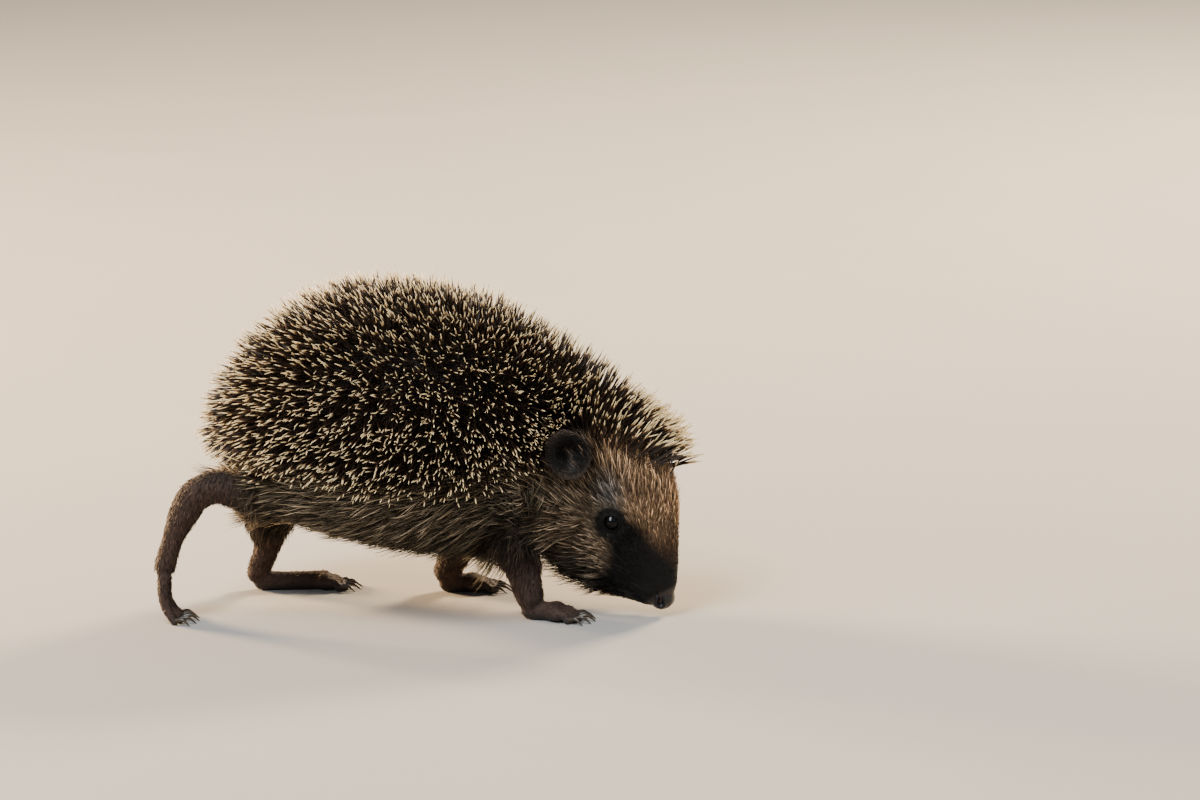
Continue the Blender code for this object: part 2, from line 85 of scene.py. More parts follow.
# Fraction of the way from rump to front: half width, height above and depth under the level.
MANTLE = np.array([
    (0.00, 46.0, 46.0, 9.0), (0.22, 51.0, 61.0, 11.0), (0.42, 51.5, 60.5, 15.5),
    (0.60, 41.5, 52.0, 13.0), (0.74, 29.5, 38.0, 8.0), (0.86, 31.0, 26.5, 7.0),
    (1.00, 34.0, 19.0, 8.0),
])
TRUNK = np.array([
    (0.00, 32.0, 20.0, 9.0), (0.20, 42.0, 40.0, 19.0), (0.50, 46.5, 50.0, 28.5),
    (0.78, 37.0, 44.0, 31.5), (1.00, 29.0, 30.0, 31.0),
])
SPINE_DEPTH = np.array([0.0, 15.0, 13.5, 4.0])
FLANK_DEPTH = np.array([0.0, 8.0, 8.0, 6.0])
MANTLE_ENDS_PARED = (12.0, 14.0)
TRUNK_ENDS_PARED = (8.0, 6.0)
THROAT = (((30.0, -2.0, 48.0), 20.0), ((52.0, -7.0, 43.0), 17.0))
# The level that parts spines from fur, from the rump to the crest.
SKIRT = np.array([
    (-100.0, 52.0), (-47.0, 51.0), (-18.0, 46.5), (6.0, 47.5), (22.0, 50.5), (36.0, 55.5),
    (46.0, 62.0), (57.0, 67.0), (70.0, 64.5), (88.0, 58.0), (112.0, 49.0),
])

# %% The head's measures
HEAD_PITCH = math.radians(58.0)
HEAD_YAW = math.radians(30.0)
NOSE_TIP = np.array([84.8, -17.9, 3.4])
# Distance behind the nose tip: half width, height on the brow side, depth on the throat side.
HEAD = np.array([
    (1.5, 3.2, 3.4, 3.0), (4.0, 5.2, 6.6, 6.0), (10.0, 7.8, 11.2, 13.0),
    (18.0, 11.4, 15.8, 19.5), (26.0, 14.8, 20.4, 24.5), (34.0, 17.8, 24.6, 28.0),
    (42.0, 20.4, 27.0, 29.5), (52.0, 23.0, 27.0, 29.0), (64.0, 24.0, 25.0, 26.0),
])
FACE_DEPTH = np.array([
    (1.5, 0.3), (18.0, 0.5), (26.0, 0.9), (34.0, 1.4), (42.0, 2.6), (52.0, 4.6), (64.0, 7.5),
])
# How far outside its section a place still counts as head, as a multiple of the section.
HEAD_LIMIT = np.array([(20.0, 1.25), (50.0, 1.55)])
EYE = (35.2, 14.0, 5.4)
EYE_RADIUS = 3.3
EAR = (62.5, 27.0, 10.5)
EAR_RADIUS = 8.9
EAR_DEPTH = 3.6
EAR_THICKNESS = 1.2
EAR_FACING = (-0.30, 0.85, 0.34)
NOSE = (3.5, 0.0, 0.4)
NOSE_HALF_SIZES = (4.2, 5.0, 4.2)
MOUTH_AT = 21.0
MOUTH_DROP = 9.0
MOUTH_SLOPE = 0.32

# %% The legs' measures
# Points down the middle of each leg, the skin's radius there.
LEGS = {
    "hind_right": [
        ((-50.0, -20.0, 46.0), 9.0), ((-66.0, -25.0, 47.0), 6.6), ((-77.0, -25.5, 48.6), 5.7),
        ((-83.0, -25.5, 46.0), 5.7), ((-87.3, -25.5, 39.5), 5.3), ((-91.8, -26.0, 29.0), 3.6),
        ((-94.3, -26.0, 20.5), 3.7),
    ],
    "hind_left": [
        ((-50.0, 20.0, 44.0), 11.0), ((-59.5, 23.5, 28.0), 8.2), ((-60.5, 25.0, 16.0), 4.7),
        ((-64.0, 25.5, 6.4), 3.9),
    ],
    "fore_right": [
        ((28.0, -16.0, 38.0), 9.5), ((31.0, -18.6, 27.0), 7.4), ((33.0, -20.5, 20.0), 6.3),
        ((36.0, -22.5, 8.0), 4.9),
    ],
    "fore_left": [
        ((20.0, 16.0, 38.0), 9.5), ((15.0, 18.6, 28.0), 7.6), ((11.0, 20.5, 20.0), 6.4),
        ((5.5, 22.0, 8.0), 4.9),
    ],
}
RAISED_KNUCKLES = np.array([-94.7, -26.0, 17.9])
# Each flat foot: heel, heading in degrees from +X, sole length, half width of the knuckles.
FLAT_FEET = {
    "fore_right": ((36.5, -22.8), -12.0, 9.0, 5.0),
    "fore_left": ((6.0, 22.2), 8.0, 9.0, 5.0),
    "hind_left": ((-62.0, 25.5), 4.0, 22.0, 4.6),
}
TOE_LENGTHS = (4.6, 6.4, 7.0, 6.4, 4.8)
TOE_RADIUS = 1.8
TOE_FAN = math.radians(11.0)
PAD_FLAT = 0.75
CLAW_LENGTH = 6.0
TAIL = [((-60.0, 1.0, 47.0), 4.2), ((-76.0, 2.0, 44.0), 3.0), ((-82.0, 3.0, 39.8), 2.1)]

# %% [markdown]
# ## From arrays to meshes
#
# Every new piece is a set of numpy arrays: the points, and the faces as rows of point numbers.
# A helper puts them in a mesh in one go, which is far quicker than adding faces one by one.

# %% Mesh helpers
def mesh_object(name, points, *face_sets):
    """A mesh object from points in millimetres and arrays of faces, one for each corner count."""
    mesh = bpy.data.meshes.new(name)
    corners = np.concatenate([faces.ravel() for faces in face_sets]).astype(np.int32)
    counts = np.concatenate([np.full(len(faces), faces.shape[1]) for faces in face_sets])
    starts = np.concatenate([[0], np.cumsum(counts)[:-1]]).astype(np.int32)
    mesh.vertices.add(len(points))
    mesh.loops.add(len(corners))
    mesh.polygons.add(len(counts))
    mesh.vertices.foreach_set("co", (points * MM).astype(np.float32).ravel())
    mesh.loops.foreach_set("vertex_index", corners)
    mesh.polygons.foreach_set("loop_start", starts)
    mesh.update(calc_edges=True)
    mesh.shade_smooth()
    made = bpy.data.objects.new(name, mesh)
    bpy.context.scene.collection.objects.link(made)
    return made


def grid_faces(rows, columns):
    """Quads between neighbouring rows of a grid that closes round its columns."""
    row = np.arange(rows - 1)[:, None] * columns
    column = np.arange(columns)[None, :]
    beside = (column + 1) % columns
    quads = [row + column, row + beside, row + columns + beside, row + columns + column]
    return np.stack(quads, axis=-1).reshape(-1, 4)


def smooth_step(low, high, value):
    """0 under low, 1 over high, and s squared times (3 - 2 s) between."""
    s = np.clip((value - low) / (high - low), 0.0, 1.0)
    return s * s * (3.0 - 2.0 * s)


def unit(vectors):
    """The same directions with length 1."""
    return vectors / np.maximum(np.linalg.norm(vectors, axis=-1, keepdims=True), 1e-9)


def level(table, at, column=1):
    """Straight lines through the rows of a table: its first column is the place."""
    return np.interp(at, table[:, 0], table[:, column])


def through(rows, at):
    """Smooth values at the given places, by cubic pieces through the rows of a table."""
    knots, values = rows[:, 0], rows[:, 1:]
    slopes = np.gradient(values, knots, axis=0)
    index = np.clip(np.searchsorted(knots, at) - 1, 0, len(knots) - 2)
    span = (knots[index + 1] - knots[index])[:, None]
    s = np.clip((at - knots[index])[:, None] / span, 0.0, 1.0)
    blend = s * s * (3.0 - 2.0 * s)
    leave = slopes[index] * span * (s**3 - 2.0 * s**2 + s)
    arrive = slopes[index + 1] * span * (s**3 - s**2)
    return values[index] * (1.0 - blend) + values[index + 1] * blend + leave + arrive


# %% [markdown]
# ## The forms under the skin
#
# Each form is a grid of two parameters: how far along, and the angle round. The section is a
# rounded box between a circle and a square, which a superellipse gives. The forms overlap, and a
# voxel remesh melts them into one closed skin, as a sculptor joins lumps of clay.

# %% Surfaces of sections
def sections(centres, across, up, half, above, below, power, columns=72):
    """Rings of points: centre + half * C * across + h * S * up.

    C and S are the cosine and sine of the angle raised to 2 / power, and h is the height above
    the centre or the depth under it.
    """
    angle = np.linspace(0.0, 2.0 * math.pi, columns, endpoint=False)
    cosine = np.sign(np.cos(angle)) * np.abs(np.cos(angle)) ** (2.0 / power)
    sine = np.sign(np.sin(angle)) * np.abs(np.sin(angle)) ** (2.0 / power)
    height = np.where(sine > 0.0, above[:, None], below[:, None]) * sine
    sideways = (half[:, None] * cosine)[:, :, None] * across[:, None, :]
    return centres[:, None, :] + sideways + height[:, :, None] * up[:, None, :]


def joined(name, surfaces):
    """One mesh object from several closed forms."""
    starts = np.cumsum([0] + [len(points) for points, _, _ in surfaces])
    points = np.concatenate([points for points, _, _ in surfaces])
    quads = np.concatenate([quads + start for (_, quads, _), start in zip(surfaces, starts)])
    ends = [end + start for (_, _, end), start in zip(surfaces, starts)]
    return mesh_object(name, points, quads, *ends)


def closed(rings):
    """Points and faces of a closed form: quads between the rings, and a face over each end."""
    rows, columns = rings.shape[:2]
    ends = np.stack([np.arange(columns)[::-1], (rows - 1) * columns + np.arange(columns)])
    return rings.reshape(-1, 3), grid_faces(rows, columns), ends


def barrel(table, depth, start, end, pared, level, power):
    """The body along X. Its sections round off at both ends and follow the bend to the head."""
    turn = np.linspace(0.03, 0.97, 64) * math.pi
    along = 0.5 * (1.0 - np.cos(turn))
    rounding = (1.0 - np.abs(2.0 * along - 1.0) ** CAP_POWER) ** (1.0 / CAP_POWER)
    x = start + pared[0] + (end - pared[1] - start - pared[0]) * along
    sizes = through(table - depth, (x - start) / (end - start)) * rounding[:, None]
    bend = np.maximum(x - BEND_START_X, 0.0)
    centres = np.column_stack([x, -BEND * bend**2, np.full_like(x, level)])
    turned = np.arctan(2.0 * BEND * bend)
    across = np.column_stack([-np.sin(turned), -np.cos(turned), np.zeros_like(x)])
    up = np.tile([0.0, 0.0, 1.0], (len(x), 1))
    return sections(centres, across, up, *sizes.T, power)


def limb(stations, columns=28, rows=40):
    """A tube along smooth points, as thick as its stations say, with a round cap on each end."""
    places = np.array([place for place, _ in stations], float)
    radii = np.array([[radius] for _, radius in stations], float)
    steps = np.linalg.norm(np.diff(places, axis=0), axis=1)
    length = np.concatenate([[0.0], np.cumsum(steps)])
    table = np.column_stack([length, places, radii])
    first, last = radii[0, 0], radii[-1, 0]
    cap = np.sin(np.linspace(0.06, 1.0, 9) * math.pi / 2.0)
    inner = through(table, np.linspace(0.0, length[-1], rows))
    way = unit(np.gradient(inner[:, :3], axis=0))
    start = inner[0, :3] - way[0] * first * np.sqrt(1.0 - cap**2)[:, None]
    finish = inner[-1, :3] + way[-1] * last * np.sqrt(1.0 - cap[::-1] ** 2)[:, None]
    centres = np.concatenate([start, inner[1:-1, :3], finish])
    radius = np.concatenate([first * cap, inner[1:-1, 3], last * cap[::-1]])
    ways = np.concatenate([np.tile(way[0], (9, 1)), way[1:-1], np.tile(way[-1], (9, 1))])
    seed = np.array([0.1, 1.0, 0.0]) if abs(ways[0, 1]) < 0.8 else np.array([1.0, 0.1, 0.0])
    across = unit(np.cross(ways, seed))
    up = np.cross(across, ways)
    return sections(centres, across, up, radius, radius, radius, 2.0, columns)


# %% The head's frame
def head_axes():
    """Unit vectors to the nose, to the animal's right and to its brow."""
    cp, sp = math.cos(HEAD_PITCH), math.sin(HEAD_PITCH)
    cy, sy = math.cos(HEAD_YAW), math.sin(HEAD_YAW)
    return np.array([[cp * cy, -cp * sy, -sp], [-sy, -cy, 0.0], [sp * cy, -sp * sy, cp]])


FORWARD, SIDE, BROW = head_axes()


def in_head(back, right, brow):
    """A place in the head: distance behind the nose tip, to the animal's right, and browwards."""
    return NOSE_TIP - back * FORWARD + right * SIDE + brow * BROW


def head_places(points):
    """The same three numbers for points in millimetres, as three arrays."""
    apart = points - NOSE_TIP
    return -(apart @ FORWARD), apart @ SIDE, apart @ BROW


SIDES = (1.0, -1.0)
EARS = [in_head(EAR[0], sign * EAR[1], EAR[2]) for sign in SIDES]
EYES = [in_head(EYE[0], sign * EYE[1], EYE[2]) for sign in SIDES]


def nearest(points, places):
    """Each point's distance to the nearer of two places."""
    return np.minimum(*[np.linalg.norm(points - place, axis=1) for place in places])


def head_share(points, near, far):
    """1 on the head and 0 on the body, fading between two distances behind the nose.

    A place also has to be near the head's own section there: a foot in front of the throat isn't.
    """
    back, right, brow = head_places(points)
    half, above, below = through(HEAD, np.clip(back, HEAD[0, 0], HEAD[-1, 0])).T
    reach = np.hypot(right / half, brow / np.where(brow > 0.0, above, below))
    limit = level(HEAD_LIMIT, back)
    return smooth_step(far, near, back) * smooth_step(limit + 0.2, limit, reach)


def head_form():
    """Sections square to the head's middle line, each pared down by the coat's depth there."""
    back = np.linspace(HEAD[0, 0], HEAD[-1, 0], 60)
    pared = through(FACE_DEPTH, back)
    half, above, below = np.maximum(through(HEAD, back) - pared, 0.5).T
    centres = NOSE_TIP - np.outer(back, FORWARD)
    across = np.tile(SIDE, (len(back), 1))
    up = np.tile(BROW, (len(back), 1))
    return sections(centres, across, up, half, above, below, 2.1)


def ear_axes(sign):
    """The ear's middle, the way it faces, the way to its tip, and the way to the brow."""
    out = unit(-EAR_FACING[0] * FORWARD + sign * EAR_FACING[1] * SIDE + EAR_FACING[2] * BROW)
    tall = unit(-FORWARD - out * (out @ -FORWARD))
    return in_head(EAR[0], sign * EAR[1], EAR[2]), out, tall, sign * np.cross(tall, out)


def ear_form(sign):
    """A round cup with a thick rim, on a short stalk that grows out of the head.

    Inside, a point at fraction f of the radius rises by f squared times the depth, and sinks
    into the ear canal near the middle. The outside follows it one wall lower. The outline is a
    circle with a few slow waves, and a fold runs inside the rear rim.
    """
    centre, out, tall, wide = ear_axes(sign)
    angle = np.linspace(0.0, 2.0 * math.pi, 96, endpoint=False)[:: int(sign)]
    inside = np.linspace(0.03, 1.0, 22)
    outside = np.linspace(0.985, 0.03, 22)
    f = np.concatenate([inside, outside])
    rise = EAR_DEPTH * f**2 - 3.4 * np.exp(-((f / 0.34) ** 2))
    wall = np.where(np.arange(len(f)) < len(inside), 0.0, EAR_THICKNESS * (1.0 - f**12) ** 0.5)
    rise = rise - wall - np.where(wall > 0.0, 1.2 * (1.0 - f), 0.0)
    outline = 1.0 + 0.05 * np.cos(2.0 * angle - 1.9) + 0.025 * np.cos(3.0 * angle + 0.6)
    outline += 0.012 * np.sin(7.0 * angle)
    rear = smooth_step(0.3, -0.4, np.cos(angle))
    fold = 0.8 * np.outer(np.where(wall > 0.0, 0.0, np.exp(-(((f - 0.66) / 0.10) ** 2))), rear)
    curl = 0.8 * np.outer(f**6, np.cos(2.0 * angle + 0.4))
    x = EAR_RADIUS * 0.94 * np.outer(f, outline * np.cos(angle))
    y = EAR_RADIUS * 1.04 * np.outer(f, outline * np.sin(angle))
    lift = (rise[:, None] + fold + curl)[..., None]
    rings = centre + x[..., None] * wide + y[..., None] * tall + lift * out
    stalk = [(in_head(58.0, sign * 12.0, 4.0), 8.0), (centre - 7.0 * out - 1.5 * tall, 4.3)]
    return closed(rings), closed(limb(stalk, rows=12))


# %% Toes and claws
def heading_axes(heading):
    """Unit vectors ahead and to the left, on the floor."""
    ahead = np.array([math.cos(heading), math.sin(heading), 0.0])
    return ahead, np.array([-ahead[1], ahead[0], 0.0])


def toes(knuckles, heading, half_width, raised):
    """Stations of five toes and their claws, fanned out from the knuckles to flat pads."""
    across = heading_axes(heading)[1]
    made = []
    for place, length in zip(range(-2, 3), TOE_LENGTHS):
        spread = across * (half_width - 1.2) * place / 2.0
        knuckle = knuckles + spread
        way = heading_axes(heading + TOE_FAN * place)[0]
        if raised:
            knuckle = knuckles + spread * 0.3
            knee = knuckles + spread + way * 1.2 - np.array([0.0, 0.0, 11.8])
            tip = knee + way * 0.75 * length
        else:
            knee = knuckle + way * length * 0.5 + np.array([0.0, 0.0, 0.4])
            tip = knuckle + way * length
        tip[2] = TOE_RADIUS - PAD_FLAT
        toe = [(knuckle, TOE_RADIUS + 0.4), (knee, TOE_RADIUS - 0.15), (tip, TOE_RADIUS - 0.35)]
        root = tip + np.array([0.0, 0.0, 0.6])
        bend = root + way * CLAW_LENGTH * 0.55 + np.array([0.0, 0.0, 0.55])
        point = root + way * CLAW_LENGTH
        point[2] = 0.35
        made.append((toe, [(root, 0.95), (bend, 0.62), (point, 0.18)]))
    return made


def foot(heel_at, degrees, length, half_width):
    """Stations of a flat sole, its ball, and its toes."""
    heading = math.radians(degrees)
    forward, across = heading_axes(heading)
    heel = np.array([*heel_at, 3.4])
    sole = [(heel, 3.6), (heel + forward * length * 0.5, 3.4), (heel + forward * length, 3.6)]
    sole = [(place - [0.0, 0.0, drop], radius) for (place, radius), drop in zip(sole, (0, 0.2, 0.2))]
    edge = across * (half_width - 2.4)
    ball = [(sole[-1][0] - edge, 3.2), (sole[-1][0] + edge, 3.2)]
    knuckles = sole[-1][0] + forward * 1.5
    knuckles[2] = 2.6
    return [sole, ball], toes(knuckles, heading, half_width, raised=False)


toe_sets = [toes(RAISED_KNUCKLES, math.radians(-4.0), 5.9, raised=True)]
limbs = list(LEGS.values()) + [TAIL]
for measures in FLAT_FEET.values():
    soles, toes_here = foot(*measures)
    limbs += soles
    toe_sets.append(toes_here)
claw_stations = [claw for toe_set in toe_sets for _, claw in toe_set]
limbs += [toe for toe_set in toe_sets for toe, _ in toe_set]
print("limb tubes:", len(limbs), "claws:", len(claw_stations))

# %% [markdown]
# ## One skin
#
# The forms are joined in one mesh and melted by a voxel remesh. Fine voxels keep the ears, toes
# and lids crisp, but they are wasted under the coat of the back, so Decimate thins them there,
# led by a vertex group.

# %% Melt the forms together
VOXEL = 0.62
SKIN_TRIANGLES = 112000

forms = [
    closed(barrel(MANTLE, SPINE_DEPTH, REAR_X, CREST_X, MANTLE_ENDS_PARED, WIDTH_LEVEL, 2.25)),
    closed(barrel(TRUNK, FLANK_DEPTH, RUMP_X, SHOULDER_X, TRUNK_ENDS_PARED, TRUNK_LEVEL, 2.15)),
    closed(limb(THROAT, columns=48, rows=16)),
    closed(head_form()),
    *ear_form(1.0),
    *ear_form(-1.0),
    *[closed(limb(stations)) for stations in limbs],
]


def melted(name, forms, voxel):
    """One closed skin over all the forms."""
    made = joined(name, forms)
    remesh = made.modifiers.new("melt", "REMESH")
    remesh.mode = "VOXEL"
    remesh.voxel_size = voxel * MM
    soften = made.modifiers.new("soften", "SMOOTH")
    soften.factor = 0.5
    soften.iterations = 4
    return made


def applied(made):
    """The object with its modifiers worked into its mesh."""
    graph = bpy.context.evaluated_depsgraph_get()
    mesh = bpy.data.meshes.new_from_object(made.evaluated_get(graph))
    made.modifiers.clear()
    made.data = mesh
    return made


def points_of(made):
    """The object's points in millimetres."""
    points = np.empty(len(made.data.vertices) * 3, np.float32)
    made.data.vertices.foreach_get("co", points)
    return points.reshape(-1, 3).astype(float) / MM


def normals_of(made):
    """The way each point of the object faces, with length 1."""
    normals = np.empty(len(made.data.vertices) * 3, np.float32)
    made.data.vertices.foreach_get("normal", normals)
    return normals.reshape(-1, 3).astype(float)


skin = applied(melted("skin", forms, VOXEL))
print("melted skin:", len(skin.data.vertices), "points")

# %% Thin out what the coat hides
def thin_out(made, triangles):
    """Collapses edges where the vertex group is heavy: on the back, flanks and belly."""
    points = points_of(made)
    head_near = smooth_step(62.0, 50.0, head_places(points)[0])
    ear_near = smooth_step(14.0, 10.0, nearest(points, EARS))
    raised_leg = smooth_step(-68.0, -74.0, points[:, 0]) * smooth_step(56.0, 50.0, points[:, 2])
    leg_near = np.maximum(smooth_step(30.0, 18.0, points[:, 2]), raised_leg)
    hidden = 1.0 - np.maximum.reduce([head_near, ear_near, leg_near])
    group = made.vertex_groups.new(name="hidden")
    for weight in (0.25, 0.5, 0.75, 1.0):
        chosen = np.flatnonzero(np.abs(hidden - weight) <= 0.125)
        group.add(chosen.tolist(), weight, "REPLACE")
    thin = made.modifiers.new("thin out", "DECIMATE")
    thin.ratio = triangles / (2.0 * len(made.data.polygons))
    thin.vertex_group = group.name
    thin.use_collapse_triangulate = True
    return applied(made)


skin = thin_out(skin, SKIN_TRIANGLES)
print("skin:", len(skin.data.polygons), "triangles")


# %% [markdown]
# ## Folds of the face
#
# The melted skin is smooth. The folds are worked in as a sculptor would: first the faces round
# the eyes and mouth are made finer, then the points are moved by formulas. An eye opening is a
# profile round the eye's axis: a pit under the ball, a raised lid that hugs it, a shallow furrow
# outside the lid, and then the skin as it was.

# %% Finer faces where folds go
def refine(made, near):
    """Splits every edge with both ends among the chosen points."""
    bm = bmesh.new()
    bm.from_mesh(made.data)
    bm.verts.ensure_lookup_table()
    chosen = np.zeros(len(bm.verts), bool)
    chosen[near] = True
    ends = np.array([(edge.verts[0].index, edge.verts[1].index) for edge in bm.edges])
    bm.edges.ensure_lookup_table()
    edges = [bm.edges[i] for i in np.flatnonzero(chosen[ends].all(axis=1))]
    bmesh.ops.subdivide_edges(bm, edges=edges, cuts=1, use_grid_fill=True)
    bmesh.ops.triangulate(bm, faces=bm.faces)
    bm.to_mesh(made.data)
    bm.free()


def eye_frame(sign):
    """Centre of the eye, the way it looks, the way to the nose, and the way to the brow."""
    centre = in_head(EYE[0], sign * EYE[1], EYE[2])
    look = unit(0.90 * sign * SIDE + 0.16 * BROW + 0.34 * FORWARD)
    noseward = unit(FORWARD - look * (FORWARD @ look))
    return centre, look, noseward, np.cross(noseward, look) * -sign


for reach in (7.5, 5.6):
    refine(skin, np.flatnonzero(nearest(points_of(skin), EYES) < reach))
refine(skin, np.flatnonzero(head_places(points_of(skin))[0] < 25.0))
print("refined skin:", len(skin.data.polygons), "triangles")

# %% Eye openings and lids
OPENING = 2.6
LID_HEIGHT = 2.0


def open_eyes(points):
    """Moves points along the eye's axis to the profile of pit, lid and furrow."""
    for sign in SIDES:
        centre, look, noseward, browward = eye_frame(sign)
        apart = points - centre
        height = apart @ look
        along = apart @ noseward
        over = apart @ browward
        r = np.hypot(along / 1.06, over / 0.98)
        rim = 0.50 * np.exp(-(((r - 2.85) / 0.50) ** 2))
        furrow = 0.30 * np.exp(-(((r - 4.1) / 0.55) ** 2))
        inside = smooth_step(OPENING - 0.15, OPENING + 0.15, r)
        profile = (1.0 - inside) * -0.8 + inside * (LID_HEIGHT + rim - furrow)
        settled = smooth_step(3.2, 6.0, r)
        target = profile * (1.0 - settled) + height * settled
        outer = smooth_step(-1.5, 0.5, height) * (r < 6.0)
        points += np.outer((target - height) * outer, look)
    return points


def mouth_and_lips(points, normals):
    """A groove along the mouth line, a fuller lower lip, and a swelling where whiskers root."""
    back, right, brow = head_places(points)
    line = -MOUTH_DROP + MOUTH_SLOPE * (MOUTH_AT - back)
    along = smooth_step(2.5, 5.0, back) * smooth_step(25.0, 21.0, back)
    groove = -0.75 * np.exp(-(((brow - line) / 0.42) ** 2)) * along
    lip = 0.35 * np.exp(-(((brow - line + 1.6) / 0.9) ** 2)) * along
    pad = 0.7 * np.exp(-(((back - 9.5) / 4.0) ** 2 + ((brow - line - 4.0) / 2.6) ** 2))
    cheekbone = 0.5 * np.exp(-(((back - 30.0) / 4.0) ** 2 + ((brow - 12.5) / 2.5) ** 2))
    share = np.clip((back - 3.0) / 4.5, 0.0, 1.0)
    crease = np.hypot(back - 3.0 - 4.5 * share, brow - 1.2 - 2.6 * share)
    crease = -0.7 * (1.0 - 0.7 * share) * np.exp(-((crease / 0.5) ** 2)) * (np.abs(right) > 2.0)
    return points + normals * (groove + lip + pad + cheekbone + crease)[:, None]


shaped = open_eyes(mouth_and_lips(points_of(skin), normals_of(skin)))
# Soles and pads press flat on the floor.
shaped[:, 2] = np.maximum(shaped[:, 2], 0.0)
skin.data.vertices.foreach_set("co", (shaped * MM).astype(np.float32).ravel())
skin.data.update()
skin.data.shade_smooth()
print("skin spans:", np.round(shaped.min(0), 1), np.round(shaped.max(0), 1))

# %% [markdown]
# ## Markings, painted shade and sheen
#
# Skin and coat share one set of markings, so that a tuft never grows out of skin of the wrong
# colour. A marking is a formula on the place: a dark mask from the eye down the muzzle, a tan
# brow, grey cheeks, brown legs. The same formulas paint light and shade: a pale sheen over the
# eye where fur mirrors the sky, and painted shade under the body, throat and jaw. Each is a soft
# mask, and the colours are mixed by the masks one after another.

# %% Palette and masks
FLANK_FUR = np.array([0.142, 0.110, 0.070])
# Belly fur: its own colour, darkened as painted shade under the body.
SHADED_BELLY_FUR = np.array([0.043, 0.035, 0.022])
LEG_FUR = np.array([0.100, 0.061, 0.046])
CHEEK_FUR = np.array([0.240, 0.176, 0.112])
# Throat fur: its own colour, darkened as painted shade under the head.
SHADED_THROAT_FUR = np.array([0.080, 0.070, 0.050])
TAN_BROW = np.array([0.425, 0.265, 0.145])
# Painted sheen: the sky's reflection on the fur over the eye, painted as a pale grey patch.
SKY_SHEEN_PATCH = np.array([0.195, 0.178, 0.162])
BRIDGE_FUR = np.array([0.092, 0.049, 0.024])
MASK_FUR = np.array([0.0058, 0.0050, 0.0044])
# Painted shade under the jaw: the fur there is painted nearly black.
SHADED_JAW_FUR = np.array([0.030, 0.027, 0.020])
EAR_INSIDE = np.array([0.006, 0.0055, 0.005])
EAR_RIM = np.array([0.034, 0.024, 0.018])
WARM_SKIN = np.array([0.030, 0.022, 0.019])
SPINY_SKIN = np.array([0.016, 0.012, 0.010])
# Behind the nose: how far towards the brow the mask's two edges and the tan brow's edge lie.
MASK_TOP = np.array([(10.0, 12.3), (20.0, 12.2), (27.0, 12.8), (33.0, 12.8)])
MASK_LOW = np.array([(9.0, -40.0), (14.0, -20.0), (18.0, -12.0), (21.0, -5.5), (25.0, -0.5), (30.0, 2.0)])
TAN_EDGE = np.array([(10.0, 9.0), (20.0, 8.5), (24.0, 8.0), (35.0, 9.5), (44.0, 13.0), (55.0, 11.0)])


def blended(under, over, share):
    """The first colour where the share is 0, the second where it is 1."""
    return under * (1.0 - share[:, None]) + over * share[:, None]


def mask_share(points):
    """How far a place is in the dark mask: a ring round the eye and a band down the muzzle."""
    back, right, brow = head_places(points)
    side = np.abs(right)
    top, low = level(MASK_TOP, back), level(MASK_LOW, back)
    ring = np.hypot((back - 33.4) / 6.8, (brow - 5.4) / 6.6)
    ring = smooth_step(1.25, 0.75, ring) * smooth_step(6.0, 9.0, side)
    band = smooth_step(top + 3.5, top - 2.5, brow) * smooth_step(low - 4.0, low + 2.0, brow)
    band = band * smooth_step(36.0, 29.0, back)
    tip = smooth_step(14.0, 7.0, back)
    return np.maximum.reduce([ring, band, tip])


def leg_share(points):
    """How far a place is on a leg: close round the line down a leg's middle, or on a foot."""
    height = points[:, 2] - 10.0 * smooth_step(-78.0, -84.0, points[:, 0])
    share = smooth_step(12.0, 8.0, height) * (1.0 - head_share(points, 50.0, 55.0))
    for stations in LEGS.values():
        for (start, wide), (end, narrow) in zip(stations[1:-1], stations[2:]):
            way = np.subtract(end, start)
            along = np.clip((points - start) @ way / (way @ way), 0.0, 1.0)
            gap = np.linalg.norm(points - start - along[:, None] * way, axis=1)
            gap -= wide + (narrow - wide) * along
            share = np.maximum(share, smooth_step(3.5, 1.0, gap))
    return share


def upper_leg(points):
    """How far a place is over a leg's foot, apart from the raised leg: its fur is longer there."""
    return smooth_step(15.0, 30.0, points[:, 2]) * smooth_step(-72.0, -62.0, points[:, 0])


